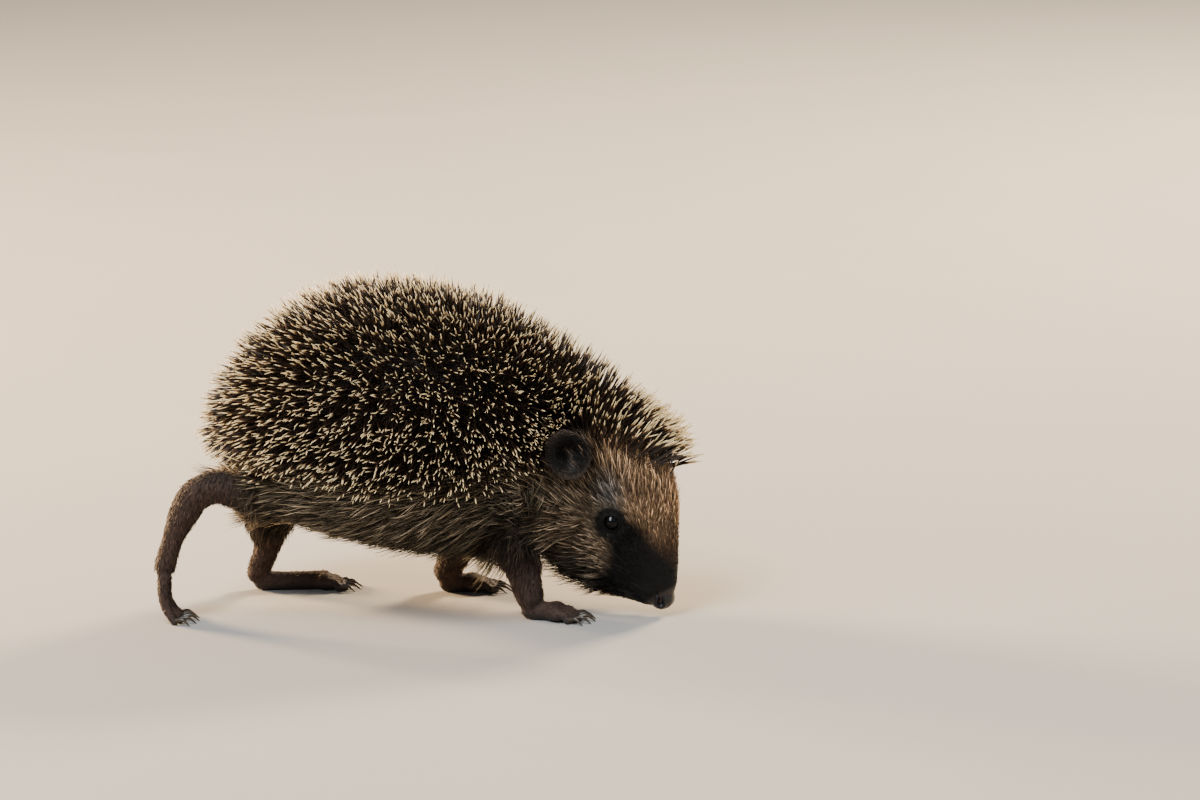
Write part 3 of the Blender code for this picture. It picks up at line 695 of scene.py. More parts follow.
def coat_colour(points):
    """The colour at each place, one mask after another: the coat's own marks, with painted shade under the
    body, throat and jaw and a painted sheen over the eye.
    """
    back, right, brow = head_places(points)
    side = np.abs(right)
    flank = np.tile(FLANK_FUR, (len(points), 1))
    # Painted shade: the fur darkens from the flank down to the belly, under the body.
    colour = blended(flank, SHADED_BELLY_FUR, smooth_step(44.0, 27.0, points[:, 2]))
    colour = blended(colour, LEG_FUR, leg_share(points) * (1.0 - 0.7 * upper_leg(points)))
    on_head = head_share(points, 62.0, 80.0)
    face = np.tile(CHEEK_FUR, (len(points), 1))
    # Painted shade: darker throat fur under the head.
    face = blended(face, SHADED_THROAT_FUR, smooth_step(-10.0, -19.0, brow))
    # Painted shade under the jaw, towards the front of the head.
    face = blended(face, SHADED_JAW_FUR, smooth_step(-8.0, -15.0, brow) * smooth_step(38.0, 26.0, back))
    edge = level(TAN_EDGE, back)
    face = blended(face, TAN_BROW, smooth_step(edge - 3.0, edge + 3.0, brow))
    # Painted sheen over the eye, where the fur mirrors the sky.
    patch = np.exp(-(((back - 42.0) / 6.0) ** 2 + ((brow - 11.0) / 4.5) ** 2))
    face = blended(face, SKY_SHEEN_PATCH, patch * smooth_step(7.0, 10.0, side))
    face = blended(face, BRIDGE_FUR, smooth_step(32.0, 15.0, back) * smooth_step(-9.0, -1.0, brow))
    face = blended(face, MASK_FUR, mask_share(points))
    # Fur round the ear's base is darker, most below and behind the ear.
    by_ear = smooth_step(18.0, 11.0, nearest(points, EARS))
    by_ear = by_ear * np.maximum(smooth_step(10.0, 5.0, brow), smooth_step(61.0, 67.0, back))
    by_ear = np.maximum(by_ear, smooth_step(17.0, 12.0, nearest(points, EARS)))
    face = blended(face, 1.2 * EAR_RIM, 0.9 * by_ear)
    return blended(colour, face, on_head)


def bare_share(points):
    """How far a place is bare skin: ears, feet, lids, lips and tail."""
    ear = smooth_step(10.6, 9.4, nearest(points, EARS))
    feet = smooth_step(3.6, 2.2, points[:, 2]) * (1.0 - head_share(points, 50.0, 55.0))
    lids = smooth_step(3.9, 3.4, nearest(points, EYES))
    tip = smooth_step(5.5, 4.0, head_places(points)[0])
    stub = smooth_step(-72.0, -76.0, points[:, 0]) * (np.abs(points[:, 1] - 2.5) < 5.0)
    return np.maximum.reduce([ear, feet, lids, tip, stub * (points[:, 2] < 52.0)])


# %% [markdown]
# ## Shader helpers
#
# A material is easier to read as sums and products than as boxes and wires. One small class
# wraps a socket and gives it the usual operators, and one method adds any other node.

# %% Wires and paint
class Wire:
    """An output socket that can be added to, multiplied and so on."""

    def __init__(self, paint, socket):
        self.paint = paint
        self.socket = socket

    def _sum(self, operation, first, second):
        return self.paint.node("ShaderNodeMath", {"operation": operation}, {0: first, 1: second})

    def __add__(self, other):
        return self._sum("ADD", self, other)

    def __sub__(self, other):
        return self._sum("SUBTRACT", self, other)

    def __rsub__(self, other):
        return self._sum("SUBTRACT", other, self)

    def __mul__(self, other):
        return self._sum("MULTIPLY", self, other)

    __radd__ = __add__
    __rmul__ = __mul__


class Paint:
    """A material's node tree, with its Principled BSDF."""

    def __init__(self, name, **constants):
        self.material = bpy.data.materials.new(name)
        self.material.use_nodes = True
        self.tree = self.material.node_tree
        self.surface = self.tree.nodes["Principled BSDF"]
        for socket, value in constants.items():
            self.surface.inputs[socket.replace("_", " ")].default_value = value

    def node(self, kind, settings=None, values=None, output=0):
        """Adds a node: its settings first, then its sockets' values or links."""
        made = self.tree.nodes.new(kind)
        for key, value in (settings or {}).items():
            if key == "stops":
                for element, (place, colour) in zip(self._elements(made, len(value)), value):
                    element.position = place
                    element.color = (*colour, 1.0)
            else:
                setattr(made, key, value)
        for key, value in (values or {}).items():
            self._put(made.inputs[key], value)
        return Wire(self, made.outputs[output])

    def _elements(self, ramp, count):
        elements = ramp.color_ramp.elements
        while len(elements) < count:
            elements.new(1.0)
        return elements

    def _put(self, socket, value):
        if isinstance(value, Wire):
            self.tree.links.new(value.socket, socket)
        else:
            socket.default_value = value

    def feed(self, **links):
        """Links values to the Principled BSDF's sockets."""
        for socket, value in links.items():
            self._put(self.surface.inputs[socket.replace("_", " ")], value)
        return self.material

    def place(self):
        return self.node("ShaderNodeTexCoord", output="Object")

    def noise(self, scale, detail=3.0, place=None):
        """Noise whose features are about 1 / scale metres across."""
        values = {"Vector": place or self.place(), "Scale": scale, "Detail": detail, "Roughness": 0.55}
        return self.node("ShaderNodeTexNoise", None, values)

    def cells(self, scale, place):
        """Distance to the edges of irregular cells, about 1 / scale metres across."""
        settings = {"feature": "DISTANCE_TO_EDGE"}
        return self.node("ShaderNodeTexVoronoi", settings, {"Vector": place, "Scale": scale})

    def attribute(self, name, output="Fac"):
        return self.node("ShaderNodeAttribute", {"attribute_name": name}, output=output)

    def ramp(self, value, *stops):
        return self.node("ShaderNodeValToRGB", {"stops": stops}, {"Fac": value}, "Color")

    def tinted(self, colour, strength):
        """A colour made brighter or darker by a number."""
        return self.node("ShaderNodeVectorMath", {"operation": "SCALE"}, {0: colour, "Scale": strength})

    def bump(self, height, strength, distance):
        values = {"Height": height, "Strength": strength, "Distance": distance}
        return self.node("ShaderNodeBump", None, values)


def set_colours(made, name, colours):
    """Keeps one colour for each point of the mesh, for its paint to read."""
    layer = made.data.attributes.new(name, "FLOAT_COLOR", "POINT")
    rgba = np.column_stack([colours, np.ones(len(colours))]).astype(np.float32)
    layer.data.foreach_set("color", rgba.ravel())


def set_numbers(made, name, numbers):
    """Keeps one number for each point of the mesh, for its paint to read."""
    layer = made.data.attributes.new(name, "FLOAT", "POINT")
    layer.data.foreach_set("value", np.asarray(numbers, np.float32))


def finish_piece(made, slot, *nodes, paint):
    """Rides the piece on the body, hides the solids it stands for, and paints it."""
    made.data.materials.clear()
    made.data.materials.append(paint)
    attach(made, "root")
    if nodes:
        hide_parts(*nodes)


# %% Paint the skin
def skin_colours(points):
    """The coat's colour darkened by its own shade, with bare skin nearly black."""
    ground = 0.45 * coat_colour(points)
    ground = blended(ground, SPINY_SKIN, smooth_step(-3.0, 3.0, spiny(points)))
    ground = blended(ground, WARM_SKIN, bare_share(points))
    ground = blended(ground, 0.5 * MASK_FUR, smooth_step(6.5, 5.0, nearest(points, EYES)))
    for sign in SIDES:
        centre, out, tall, wide = ear_axes(sign)
        apart = points - centre
        rim = smooth_step(0.72, 1.0, np.hypot(apart @ wide, apart @ tall) / EAR_RADIUS)
        rim = np.maximum(rim, smooth_step(-1.0, -3.0, apart @ out))
        ear = blended(np.tile(EAR_INSIDE, (len(points), 1)), EAR_RIM, rim)
        ground = blended(ground, ear, smooth_step(10.5, 9.5, np.linalg.norm(apart, axis=1)))
    return ground


def spiny(points):
    """Millimetres over the level where spines give way to fur."""
    return points[:, 2] - through(SKIRT, points[:, 0])[:, 0]


def skin_paint():
    """Soft skin with blotches and fine grain, and pores where it is bare."""
    paint = Paint("skin", Specular_IOR_Level=0.22)
    place = paint.place()
    colour = paint.attribute("markings", "Color")
    bare = paint.attribute("bare")
    blotches = paint.noise(140.0, 4.0, place=place)
    pores = paint.cells(1500.0, place)
    grain = paint.noise(2600.0, 2.0, place=place)
    height = pores * bare + grain * 0.5
    return paint.feed(
        Base_Color=paint.tinted(colour, 0.65 + blotches * 0.7),
        Roughness=0.72 - bare * 0.22 + grain * 0.1,
        Normal=paint.bump(height, 0.5, 0.00025),
    )


skin_points = points_of(skin)
set_colours(skin, "markings", skin_colours(skin_points))
set_numbers(skin, "bare", bare_share(skin_points))
FLESH = [name for name in frame["nodes"] if not name.startswith(("eye", "nose"))]
finish_piece(skin, "body_fur", *FLESH, paint=skin_paint())
print("skin stands for:", len(FLESH), "solids")

# %% [markdown]
# ## Eyes, nose and claws
#
# The eyes are black beads, wet and a little proud. The nose is a leathery pad with a groove
# down its middle and a nostril on each side, shaped like a comma. The claws are dark horn.

# %% Eyes
def globe(centre, axes, half_sizes, rows=48, columns=64):
    """Rings of an ellipsoid round its first axis, which points out of the piece."""
    turn = np.linspace(0.015, 0.985, rows) * math.pi
    angle = np.linspace(0.0, 2.0 * math.pi, columns, endpoint=False)
    ahead = np.cos(turn)[:, None] * np.ones(columns)
    aside = np.sin(turn)[:, None] * np.cos(angle)
    above = np.sin(turn)[:, None] * np.sin(angle)
    local = np.stack([ahead, aside, above], axis=-1)
    return local, centre + (local * half_sizes) @ np.array(axes)


for side, sign in (("right", 1.0), ("left", -1.0)):
    centre, look, noseward, browward = eye_frame(sign)
    local, rings = globe(centre, (look, noseward, np.cross(look, noseward)), (EYE_RADIUS,) * 3)
    cornea = 0.22 * np.exp(-(((1.0 - local[..., 0]) / 0.12) ** 2))
    rings = rings + cornea[..., None] * look
    eye = mesh_object(f"eye_ball_{side}", *closed(rings[:, ::-1]))
    # Painted shade: the clear coat is weak on the lower half of each eye, so that half mirrors little of the
    # floor and stays dark.
    set_numbers(eye, "upper", smooth_step(0.0, 1.2, points_of(eye)[:, 2] - centre[2]))
    paint = Paint(f"eye_{side}", Roughness=0.10, Specular_IOR_Level=0.12, Coat_Roughness=0.03, Coat_IOR=1.42)
    haze = paint.noise(300.0)
    dark = paint.ramp(haze, (0.3, (0.0015, 0.0014, 0.0016)), (0.8, (0.003, 0.0025, 0.0025)))
    gloss_cut_below = 0.12 + paint.attribute("upper") * 0.58
    finish_piece(eye, "eye_black", f"eye_{side}", paint=paint.feed(Base_Color=dark, Coat_Weight=gloss_cut_below))

# %% Nose
def nose_pad():
    """An ellipsoid, pressed in by a groove down its middle and by a comma-shaped nostril each side.

    A nostril's depth falls off with the distance from a line between two places on the pad, and
    the line's far end is the thin tail of the comma.
    """
    local, rings = globe(in_head(*NOSE), (FORWARD, SIDE, BROW), NOSE_HALF_SIZES, 120, 160)
    ahead, aside, above = local[..., 0], local[..., 1], local[..., 2]
    groove = np.exp(-((aside / 0.08) ** 2)) * smooth_step(0.2, 0.7, ahead)
    depth = 0.45 * groove * smooth_step(0.6, -0.1, above)
    for sign in SIDES:
        start = unit(np.array([0.48, sign * 0.84, 0.14]))
        end = unit(np.array([-0.12, sign * 0.84, 0.56]))
        share = np.clip(((local - start) @ (end - start)) / ((end - start) @ (end - start)), 0.0, 1.0)
        apart = np.linalg.norm(local - start - share[..., None] * (end - start), axis=-1)
        width = 0.27 - 0.16 * share
        pit = np.exp(-((apart / width) ** 3))
        rim = np.exp(-(((apart - width - 0.16) / 0.13) ** 2))
        depth = depth + (1.9 - 0.9 * share) * pit - 0.32 * rim
    inward = unit(in_head(*NOSE) - rings)
    return rings + depth[..., None] * inward


def nose_paint():
    """Damp black leather, pressed into small cells."""
    paint = Paint("nose_leather", Specular_IOR_Level=0.25)
    place = paint.place()
    cells = paint.cells(2400.0, place)
    cloud = paint.noise(500.0, place=place)
    tone = paint.ramp(cloud, (0.25, (0.004, 0.0035, 0.004)), (0.8, (0.013, 0.011, 0.012)))
    return paint.feed(
        Base_Color=tone,
        Roughness=0.24 + cloud * 0.20,
        Normal=paint.bump(cells, 0.55, 0.00012),
    )


nose = mesh_object("nose_pad", *closed(nose_pad()[:, ::-1]))
finish_piece(nose, "nose_leather", "nose", paint=nose_paint())

# %% Claws
def claw_paint():
    """Dark horn with faint streaks."""
    paint = Paint("claw_horn", Roughness=0.32)
    streaks = paint.noise(900.0, 4.0)
    tone = paint.ramp(streaks, (0.3, (0.022, 0.016, 0.012)), (0.8, (0.075, 0.054, 0.036)))
    return paint.feed(Base_Color=tone, Normal=paint.bump(streaks, 0.3, 0.0001))


claws = joined("claws", [closed(limb(stations, columns=12, rows=10)) for stations in claw_stations])
finish_piece(claws, "dark_skin", paint=claw_paint())
print("claws:", len(claws.data.polygons), "faces")


# %% [markdown]
# ## Where the coat grows
#
# Roots are scattered over the skin by area, in random order, and a root is dropped when one
# already kept is nearer than its gap. That gives an even spread with no rows. Each root knows its
# normal, and a formula tells which way the hair lies there: back along the body and over the
# head, down the legs, and out along the feet.

# %% Scatter the roots
rng = np.random.default_rng(11)
ROOT_TRIALS = 260000


def scatter(made, count):
    """Random places on a mesh, as likely on every square millimetre, and their normals."""
    mesh = made.data
    mesh.calc_loop_triangles()
    corners = np.empty(len(mesh.loop_triangles) * 3, np.int32)
    mesh.loop_triangles.foreach_get("vertices", corners)
    corners = corners.reshape(-1, 3)
    points, normals = points_of(made), normals_of(made)
    first, second, third = (points[corners[:, i]] for i in range(3))
    areas = np.linalg.norm(np.cross(second - first, third - first), axis=1)
    chosen = corners[rng.choice(len(corners), count, p=areas / areas.sum())]
    reach, turn = np.sqrt(rng.random(count)), rng.random(count)
    weights = np.column_stack([1.0 - reach, reach * (1.0 - turn), reach * turn])[..., None]
    return (points[chosen] * weights).sum(axis=1), unit((normals[chosen] * weights).sum(axis=1))


def tree_of(points):
    """A tree that finds the points near a place quickly."""
    tree = kdtree.KDTree(len(points))
    for index, point in enumerate(points):
        tree.insert(point, index)
    tree.balance()
    return tree


def spaced(points, gaps):
    """The numbers of points that keep their gap from every point kept before them."""
    tree = tree_of(points)
    free = np.ones(len(points), bool)
    kept = []
    for index, gap in enumerate(gaps):
        if free[index]:
            kept.append(index)
            free[[found for _, found, _ in tree.find_range(points[index], gap)]] = False
    return np.array(kept)


def company(points, reach):
    """How many of the points stand within reach of each, itself among them."""
    tree = tree_of(points)
    return np.array([len(tree.find_range(point, reach)) for point in points])


def along_skin(ways, normals):
    """The part of each way that lies in the skin, of length 1."""
    return unit(ways - normals * (ways * normals).sum(axis=1, keepdims=True))


def wavering(points, seed, scale):
    """A smooth random value of about -1 to 1, from a few waves across the body."""
    waves = np.random.default_rng(seed)
    total = np.zeros(len(points))
    for _ in range(6):
        way = unit(waves.normal(size=3)) * waves.uniform(0.6, 1.6) * 2.0 * math.pi / scale
        total += np.sin(points @ way + waves.uniform(0.0, 2.0 * math.pi))
    return total / 3.0


trial_roots, trial_normals = scatter(skin, ROOT_TRIALS)
trial_back, trial_right, trial_brow = head_places(trial_roots)

# %% Where spines give way to fur
SPINE_LENGTH = 18.0
SPINE_LEAN = 27.0
SPINE_SWING = 0.85
SPINE_LEAN_SPREAD = 11.0
SPINE_GAP = 1.27
CREST_GAP = 1.22
# How near a spine may come to the middle of an ear, and how many others keep it company.
EAR_CLEARANCE = 9.6
COMPANY_REACH = 4.5
LONELY_UNDER = 17
# Along the body: how far spines point ahead, and how far they point up.
SPINE_WAY = np.array([
    (-90.0, -1.0, -0.7), (12.0, -1.0, -0.75), (38.0, -0.6, -0.4), (56.0, -0.1, 0.2),
    (68.0, 0.9, 0.7), (78.0, 1.5, 1.1), (90.0, 1.7, 1.3),
])


def spine_axes(points, normals, swing=0.0, lean=0.0):
    """The way each spine points: its normal, leaned over, and swung round by its own angles."""
    ahead, up = level(SPINE_WAY, points[:, 0]), level(SPINE_WAY, points[:, 0], 2)
    ways = np.column_stack([ahead, 0.35 * np.sign(points[:, 1]) * (np.abs(up) + 0.1), up])
    lie = along_skin(ways, normals)
    side = np.cross(normals, lie)
    turn = np.reshape(swing, (-1, 1))
    lie = lie * np.cos(turn) + side * np.sin(turn)
    strength = np.minimum(np.hypot(ahead, up), 2.2)[:, None]
    lean = np.radians(SPINE_LEAN * strength + np.reshape(lean, (-1, 1)))
    return unit(normals * np.cos(lean) + lie * np.sin(lean))


def before_ears(points, reach):
    """How near, in millimetres, the outer part of a spine comes to the middle of an ear."""
    nearest = np.full(len(points), 99.0)
    for sign in SIDES:
        centre, out, tall, wide = ear_axes(sign)
        for share in (0.4, 0.7, 1.0):
            apart = points + share * reach - centre
            behind = np.where(apart @ out < -2.5, 99.0, 0.0)
            nearest = np.minimum(nearest, np.hypot(apart @ wide, apart @ tall) + behind)
    return nearest


# Spines stop where their tips would hang under the skirt line, or would cross an ear.
calm = 1.0 - 0.45 * smooth_step(56.0, 70.0, trial_roots[:, 0])
calm *= 0.65 + 0.35 * smooth_step(70.0, 92.0, trial_roots[:, 2])
swings = rng.normal(0.0, SPINE_SWING, ROOT_TRIALS) * calm
leans = rng.normal(0.0, SPINE_LEAN_SPREAD, ROOT_TRIALS) * calm
trial_axes = spine_axes(trial_roots, trial_normals, swings, leans)
spine_tips = trial_roots + 15.0 * spine_axes(trial_roots, trial_normals)
unevenness = 1.8 - 1.4 * smooth_step(50.0, 60.0, trial_roots[:, 0])
spine_edge = spiny(spine_tips) + unevenness * wavering(trial_roots, 5, 9.0)
spine_edge -= 3.5 * smooth_step(52.0, 66.0, trial_roots[:, 0])
is_spiny = (spine_edge > 0.0) & (nearest(trial_roots, EARS) > 11.0) & (leg_share(trial_roots) < 0.3)
is_spiny &= before_ears(trial_roots, SPINE_LENGTH * trial_axes) > EAR_CLEARANCE
FUR_GAP = np.array([(0.0, 0.62), (12.0, 0.68), (22.0, 0.80), (34.0, 0.85), (50.0, 0.92), (64.0, 1.2)])


def fur_gaps(points):
    """Roots stand closer on the face than on the body, and closer still on the muzzle."""
    back = head_places(points)[0]
    gaps = level(FUR_GAP, back)
    gaps = np.where(head_share(points, 64.0, 70.0) > 0.5, gaps, FUR_GAP[-1, 1])
    return np.where(leg_share(points) > 0.5, 0.9, gaps)


spine_trials = np.flatnonzero(is_spiny)
spine_gaps = np.where(trial_roots[spine_trials, 0] > 58.0, CREST_GAP, SPINE_GAP)
spine_roots = spine_trials[spaced(trial_roots[spine_trials], spine_gaps)]
spine_roots = spine_roots[company(trial_roots[spine_roots], COMPANY_REACH) > LONELY_UNDER]
is_furry = (spine_edge < 5.0) | (leg_share(trial_roots) > 0.25) | (nearest(trial_roots, EARS) < 13.0)
is_furry &= bare_share(trial_roots) < 0.5
fur_trials = np.flatnonzero(is_furry)
fur_roots = fur_trials[spaced(trial_roots[fur_trials], fur_gaps(trial_roots[fur_trials]))]
print("spines:", len(spine_roots), "tufts:", len(fur_roots))

# %% Which way hair lies
HEAD_LIE = np.array([
    (-25.0, 42.0), (-18.0, 38.0), (-5.0, 24.0), (8.0, 5.0), (16.0, -22.0), (24.0, -25.0),
])
# Along the body: how steeply the fur rises towards its tips, as a slope.
BODY_FALL = np.array([(-70.0, 0.10), (-45.0, -0.10), (-10.0, -0.25), (15.0, -0.20), (40.0, 0.20)])


def lie_of_fur(points, normals):
    """Back from the nose on the head, back and down on the body, down the legs to the toes."""
    back, _, brow = head_places(points)
    slant = np.radians(level(HEAD_LIE, brow))
    slant = slant * smooth_step(4.0, 14.0, back)
    head = -np.cos(slant)[:, None] * FORWARD - np.sin(slant)[:, None] * BROW
    none = np.zeros(len(points))
    body = np.column_stack([none - 1.0, none, level(BODY_FALL, points[:, 0])])
    legs = np.column_stack([none - 0.15, none, none - 1.0])
    toes = smooth_step(9.0, 5.0, points[:, 2])[:, None]
    legs = legs * (1.0 - toes) + np.array([1.0, 0.0, -0.2]) * toes
    ways = blended(body, legs, leg_share(points))
    ways = blended(ways, head, head_share(points, 54.0, 66.0))
    for sign in SIDES:
        apart = ear_axes(sign)[0] - points
        near = smooth_step(16.0, 11.0, np.linalg.norm(apart, axis=1)) * smooth_step(-2.0, 4.0, brow)
        ways = ways + near[:, None] * smooth_step(66.0, 58.0, back)[:, None] * unit(apart)
    return along_skin(ways, normals)


# %% [markdown]
# ## From paths to strands
#
# A spine or a hair is a closed tube along a path, thin at the root, thickest part way and drawn
# to a point. All the tubes of a piece are made at once: the paths are an array of strands by
# steps, and the rings of corners are the paths plus a circle in each strand's own frame. Each
# strand keeps three numbers for its paint: how far along, a random tone, and its marking colour,
# with the painted shade and sheen that colour carries in places.
#
# The map for baking unrolls the skin the way a box is unfolded: roots go to one of six charts by
# the side they face, and a chart is a strip as wide as its share of the roots. Every strand of a
# tuft shares a small patch at its root's place.

# %% Tubes along paths
PATCH = 0.003


def unrolled(roots, normals):
    """Each root's place on the map, from 0 to 1 both ways."""
    facing = np.argmax(np.abs(normals), axis=1)
    ahead = np.take_along_axis(normals, facing[:, None], axis=1)[:, 0] > 0.0
    chart = facing * 2 + ahead
    places = np.zeros((len(roots), 2))
    start = 0.0
    for number in np.unique(chart):
        chosen = chart == number
        flat = np.delete(roots[chosen], number // 2, axis=1)
        span = np.maximum(np.ptp(flat, axis=0), 1.0)
        flat = (flat - flat.min(axis=0)) / span
        if span[0] > span[1]:
            flat = flat[:, ::-1]
        width = chosen.mean()
        places[chosen, 0] = start + width * (0.02 + 0.96 * flat[:, 0])
        places[chosen, 1] = 0.01 + 0.98 * flat[:, 1]
        start += width
    return places


def tubes(name, slot, paint, paths, radii, sides, steps, tones, colours, places):
    """One piece of closed tubes: paths are strands x steps x 3, and each ends in a point."""
    count, rings = paths.shape[0], paths.shape[1] - 1
    paths[..., 2] = np.maximum(paths[..., 2], 0.3)
    chord = unit(paths[:, -1] - paths[:, 0])
    helper = unit(rng.normal(size=(count, 3)))
    across = unit(np.cross(chord, helper))
    above = np.cross(chord, across)
    angle = np.arange(sides) * 2.0 * math.pi / sides
    circle = np.cos(angle)[:, None] * across[:, None] + np.sin(angle)[:, None] * above[:, None]
    body = paths[:, :-1, None] + radii[:, :rings, None, None] * circle[:, None]
    points = np.concatenate([body.reshape(count, rings * sides, 3), paths[:, -1:]], axis=1)
    stride = rings * sides + 1
    starts = (np.arange(count) * stride)[:, None, None]
    wall = starts + grid_faces(rings, sides)
    low = (rings - 1) * sides
    column = np.arange(sides)
    tip = np.stack([low + column, low + (column + 1) % sides, np.full(sides, stride - 1)], axis=-1)
    root = (starts[:, 0] + column[::-1])[:, None]
    made = mesh_object(name, points.reshape(-1, 3), wall.reshape(-1, 4), (starts + tip).reshape(-1, 3),
                       root.reshape(-1, sides))
    steps = np.broadcast_to(steps, (count, rings + 1))
    along = np.concatenate([np.repeat(steps[:, :-1], sides, axis=1), steps[:, -1:]], axis=1)
    spread = np.broadcast_to(np.append(np.tile(column / sides, rings), 0.5) - 0.5, along.shape)
    set_numbers(made, "along", along.ravel())
    set_numbers(made, "tone", np.repeat(tones, stride))
    set_colours(made, "markings", np.repeat(colours, stride, axis=0))
    patch = places[:, None] + PATCH * np.stack([spread, along - 0.5], axis=-1)
    corners = np.empty(len(made.data.loops), np.int32)
    made.data.loops.foreach_get("vertex_index", corners)
    layer = made.data.uv_layers.new(name="OFBake")
    layer.data.foreach_set("uv", patch.reshape(-1, 2)[corners].astype(np.float32).ravel())
    finish_piece(made, slot, paint=paint)
    print(name, count, "strands", len(corners) - 2 * len(made.data.polygons), "triangles")


# %% [markdown]
# ## Spines
#
# A hedgehog's spines stand in a loose criss-cross. They lean back and down over the flanks,
# stand up over the shoulders, and lean forward in a crest over the brow. Each has a dark band
# and a cream tip, and its root and lower shaft are painted dark as painted shade deep in the coat.
# They are grown in two pieces, one for each side.

# %% Grow the spines
SPINE_STEPS = np.array([0.0, 0.12, 0.5, 0.80, 0.94, 1.0])
SPINE_RADII = np.array([0.22, 0.31, 0.33, 0.26, 0.17, 0.0])


def spine_paint():
    """Bands along the spine: a cream tip and the dark band under it, which are the spine's own colour, over
    a root and lower shaft painted brown to dark as painted shade deep in the coat, where a real spine is
    cream.
    """
    paint = Paint("spine", Roughness=0.38, Specular_IOR_Level=0.5)
    along = paint.attribute("along")
    tone = paint.attribute("tone")
    # Painted shade: the root and lower shaft, cream on a real spine, are painted brown to near black.
    bands = paint.ramp(
        along,
        (0.00, (0.170, 0.115, 0.065)),
        (0.22, (0.080, 0.049, 0.028)),
        (0.40, (0.017, 0.010, 0.006)),
        (0.80, (0.018, 0.009, 0.005)),
        (0.86, (0.165, 0.095, 0.048)),
        (0.885, (0.760, 0.590, 0.310)),
        (1.00, (0.880, 0.730, 0.430)),
    )
    return paint.feed(Base_Color=paint.tinted(bands, 0.7 + tone * 0.6), Roughness=0.34 + tone * 0.12)


def grow_spines(name, chosen):
    """Paths from the root along each spine's axis, bent aside by the square of the step."""
    roots, normals = trial_roots[chosen], trial_normals[chosen]
    count = len(chosen)
    axes = trial_axes[chosen]
    edge = np.maximum(smooth_step(0.0, 9.0, spine_edge[chosen]), smooth_step(58.0, 70.0, roots[:, 0]))
    lengths = SPINE_LENGTH * (0.76 + 0.24 * edge) * rng.uniform(0.90, 1.10, count)
    bend = along_skin(rng.normal(size=(count, 3)), axes) * 0.025
    steps = SPINE_STEPS[:, None]
    curve = axes[:, None] * (steps - 0.03) + bend[:, None] * steps**2
    paths = roots[:, None] + lengths[:, None, None] * curve
    radii = SPINE_RADII * rng.uniform(0.85, 1.1, count)[:, None]
    dark = rng.uniform(0.75, 1.25, count) - 0.48 * smooth_step(58.0, 74.0, roots[:, 0])
    bands = SPINE_STEPS + 1.25 * (1.0 - dark[:, None]) * SPINE_STEPS * (1.0 - SPINE_STEPS)
    tones = rng.random(count)
    places = unrolled(roots, normals)
    tubes(name, "spine_coat", spine_material, paths, radii, 5, bands, tones, coat_colour(roots), places)


spine_material = spine_paint()
on_right = trial_roots[spine_roots, 1] < 0.0
grow_spines("spines_right", spine_roots[on_right])
grow_spines("spines_left", spine_roots[~on_right])

# %% [markdown]
# ## Fur
#
# Fur grows in tufts. The strands of a tuft start from a small patch of skin, lean over with the
# lie of the coat, and draw together at their tips, which is what gives fur its locks. The length,
# the lift from the skin and the thickness are formulas of the place, from a fine nap on the
# muzzle to coarse hair on the flanks.

# %% Grow the fur
GOLDEN_ANGLE = 2.39996
# Behind the nose: length, lift as a slope, strand radius.
FACE_FUR = np.array([
    (3.0, 0.9, 0.30, 0.080), (12.0, 1.5, 0.30, 0.085), (22.0, 2.6, 0.30, 0.095),
    (34.0, 4.4, 0.32, 0.090), (46.0, 7.0, 0.38, 0.100), (58.0, 9.2, 0.46, 0.112),
])
BODY_FUR = (12.0, 0.31, 0.120)
BELLY_FUR_SIZE = (9.0, 0.40, 0.122)
LEG_FUR_SIZE = (2.6, 0.24, 0.090)
UPPER_LEG_MORE = (4.5, 0.15, 0.03)
THROAT_MORE = (4.0, 0.45, 0.02)
BY_EAR_MORE = (2.4, 0.35, 0.0)
FOOT_FUR_SIZE = (1.6, 0.25, 0.090)


def fur_sizes(points):
    """Length, lift and strand radius at each place."""
    back = head_places(points)[0]
    face = through(FACE_FUR, np.clip(back, FACE_FUR[0, 0], FACE_FUR[-1, 0]))
    sizes = np.tile(np.array(BODY_FUR), (len(points), 1))
    sizes = blended(sizes, np.array(BELLY_FUR_SIZE), smooth_step(34.0, 24.0, points[:, 2]))
    leg = leg_share(points)
    leg_sizes = np.array(LEG_FUR_SIZE) + upper_leg(points)[:, None] * UPPER_LEG_MORE
    sizes = blended(sizes, leg_sizes, leg)
    sizes = blended(sizes, np.array(FOOT_FUR_SIZE), leg * smooth_step(12.0, 7.0, points[:, 2]))
    under = smooth_step(-5.0, -14.0, head_places(points)[2]) * smooth_step(8.0, 18.0, back)
    by_ear = smooth_step(17.0, 12.0, nearest(points, EARS)) * smooth_step(63.0, 58.0, back)
    face = face + under[:, None] * THROAT_MORE + by_ear[:, None] * BY_EAR_MORE
    sizes = blended(sizes, face, head_share(points, 58.0, 66.0))
    sizes[:, 0] *= 0.30 + 0.70 * smooth_step(4.0, 10.0, nearest(points, EYES))
    return sizes


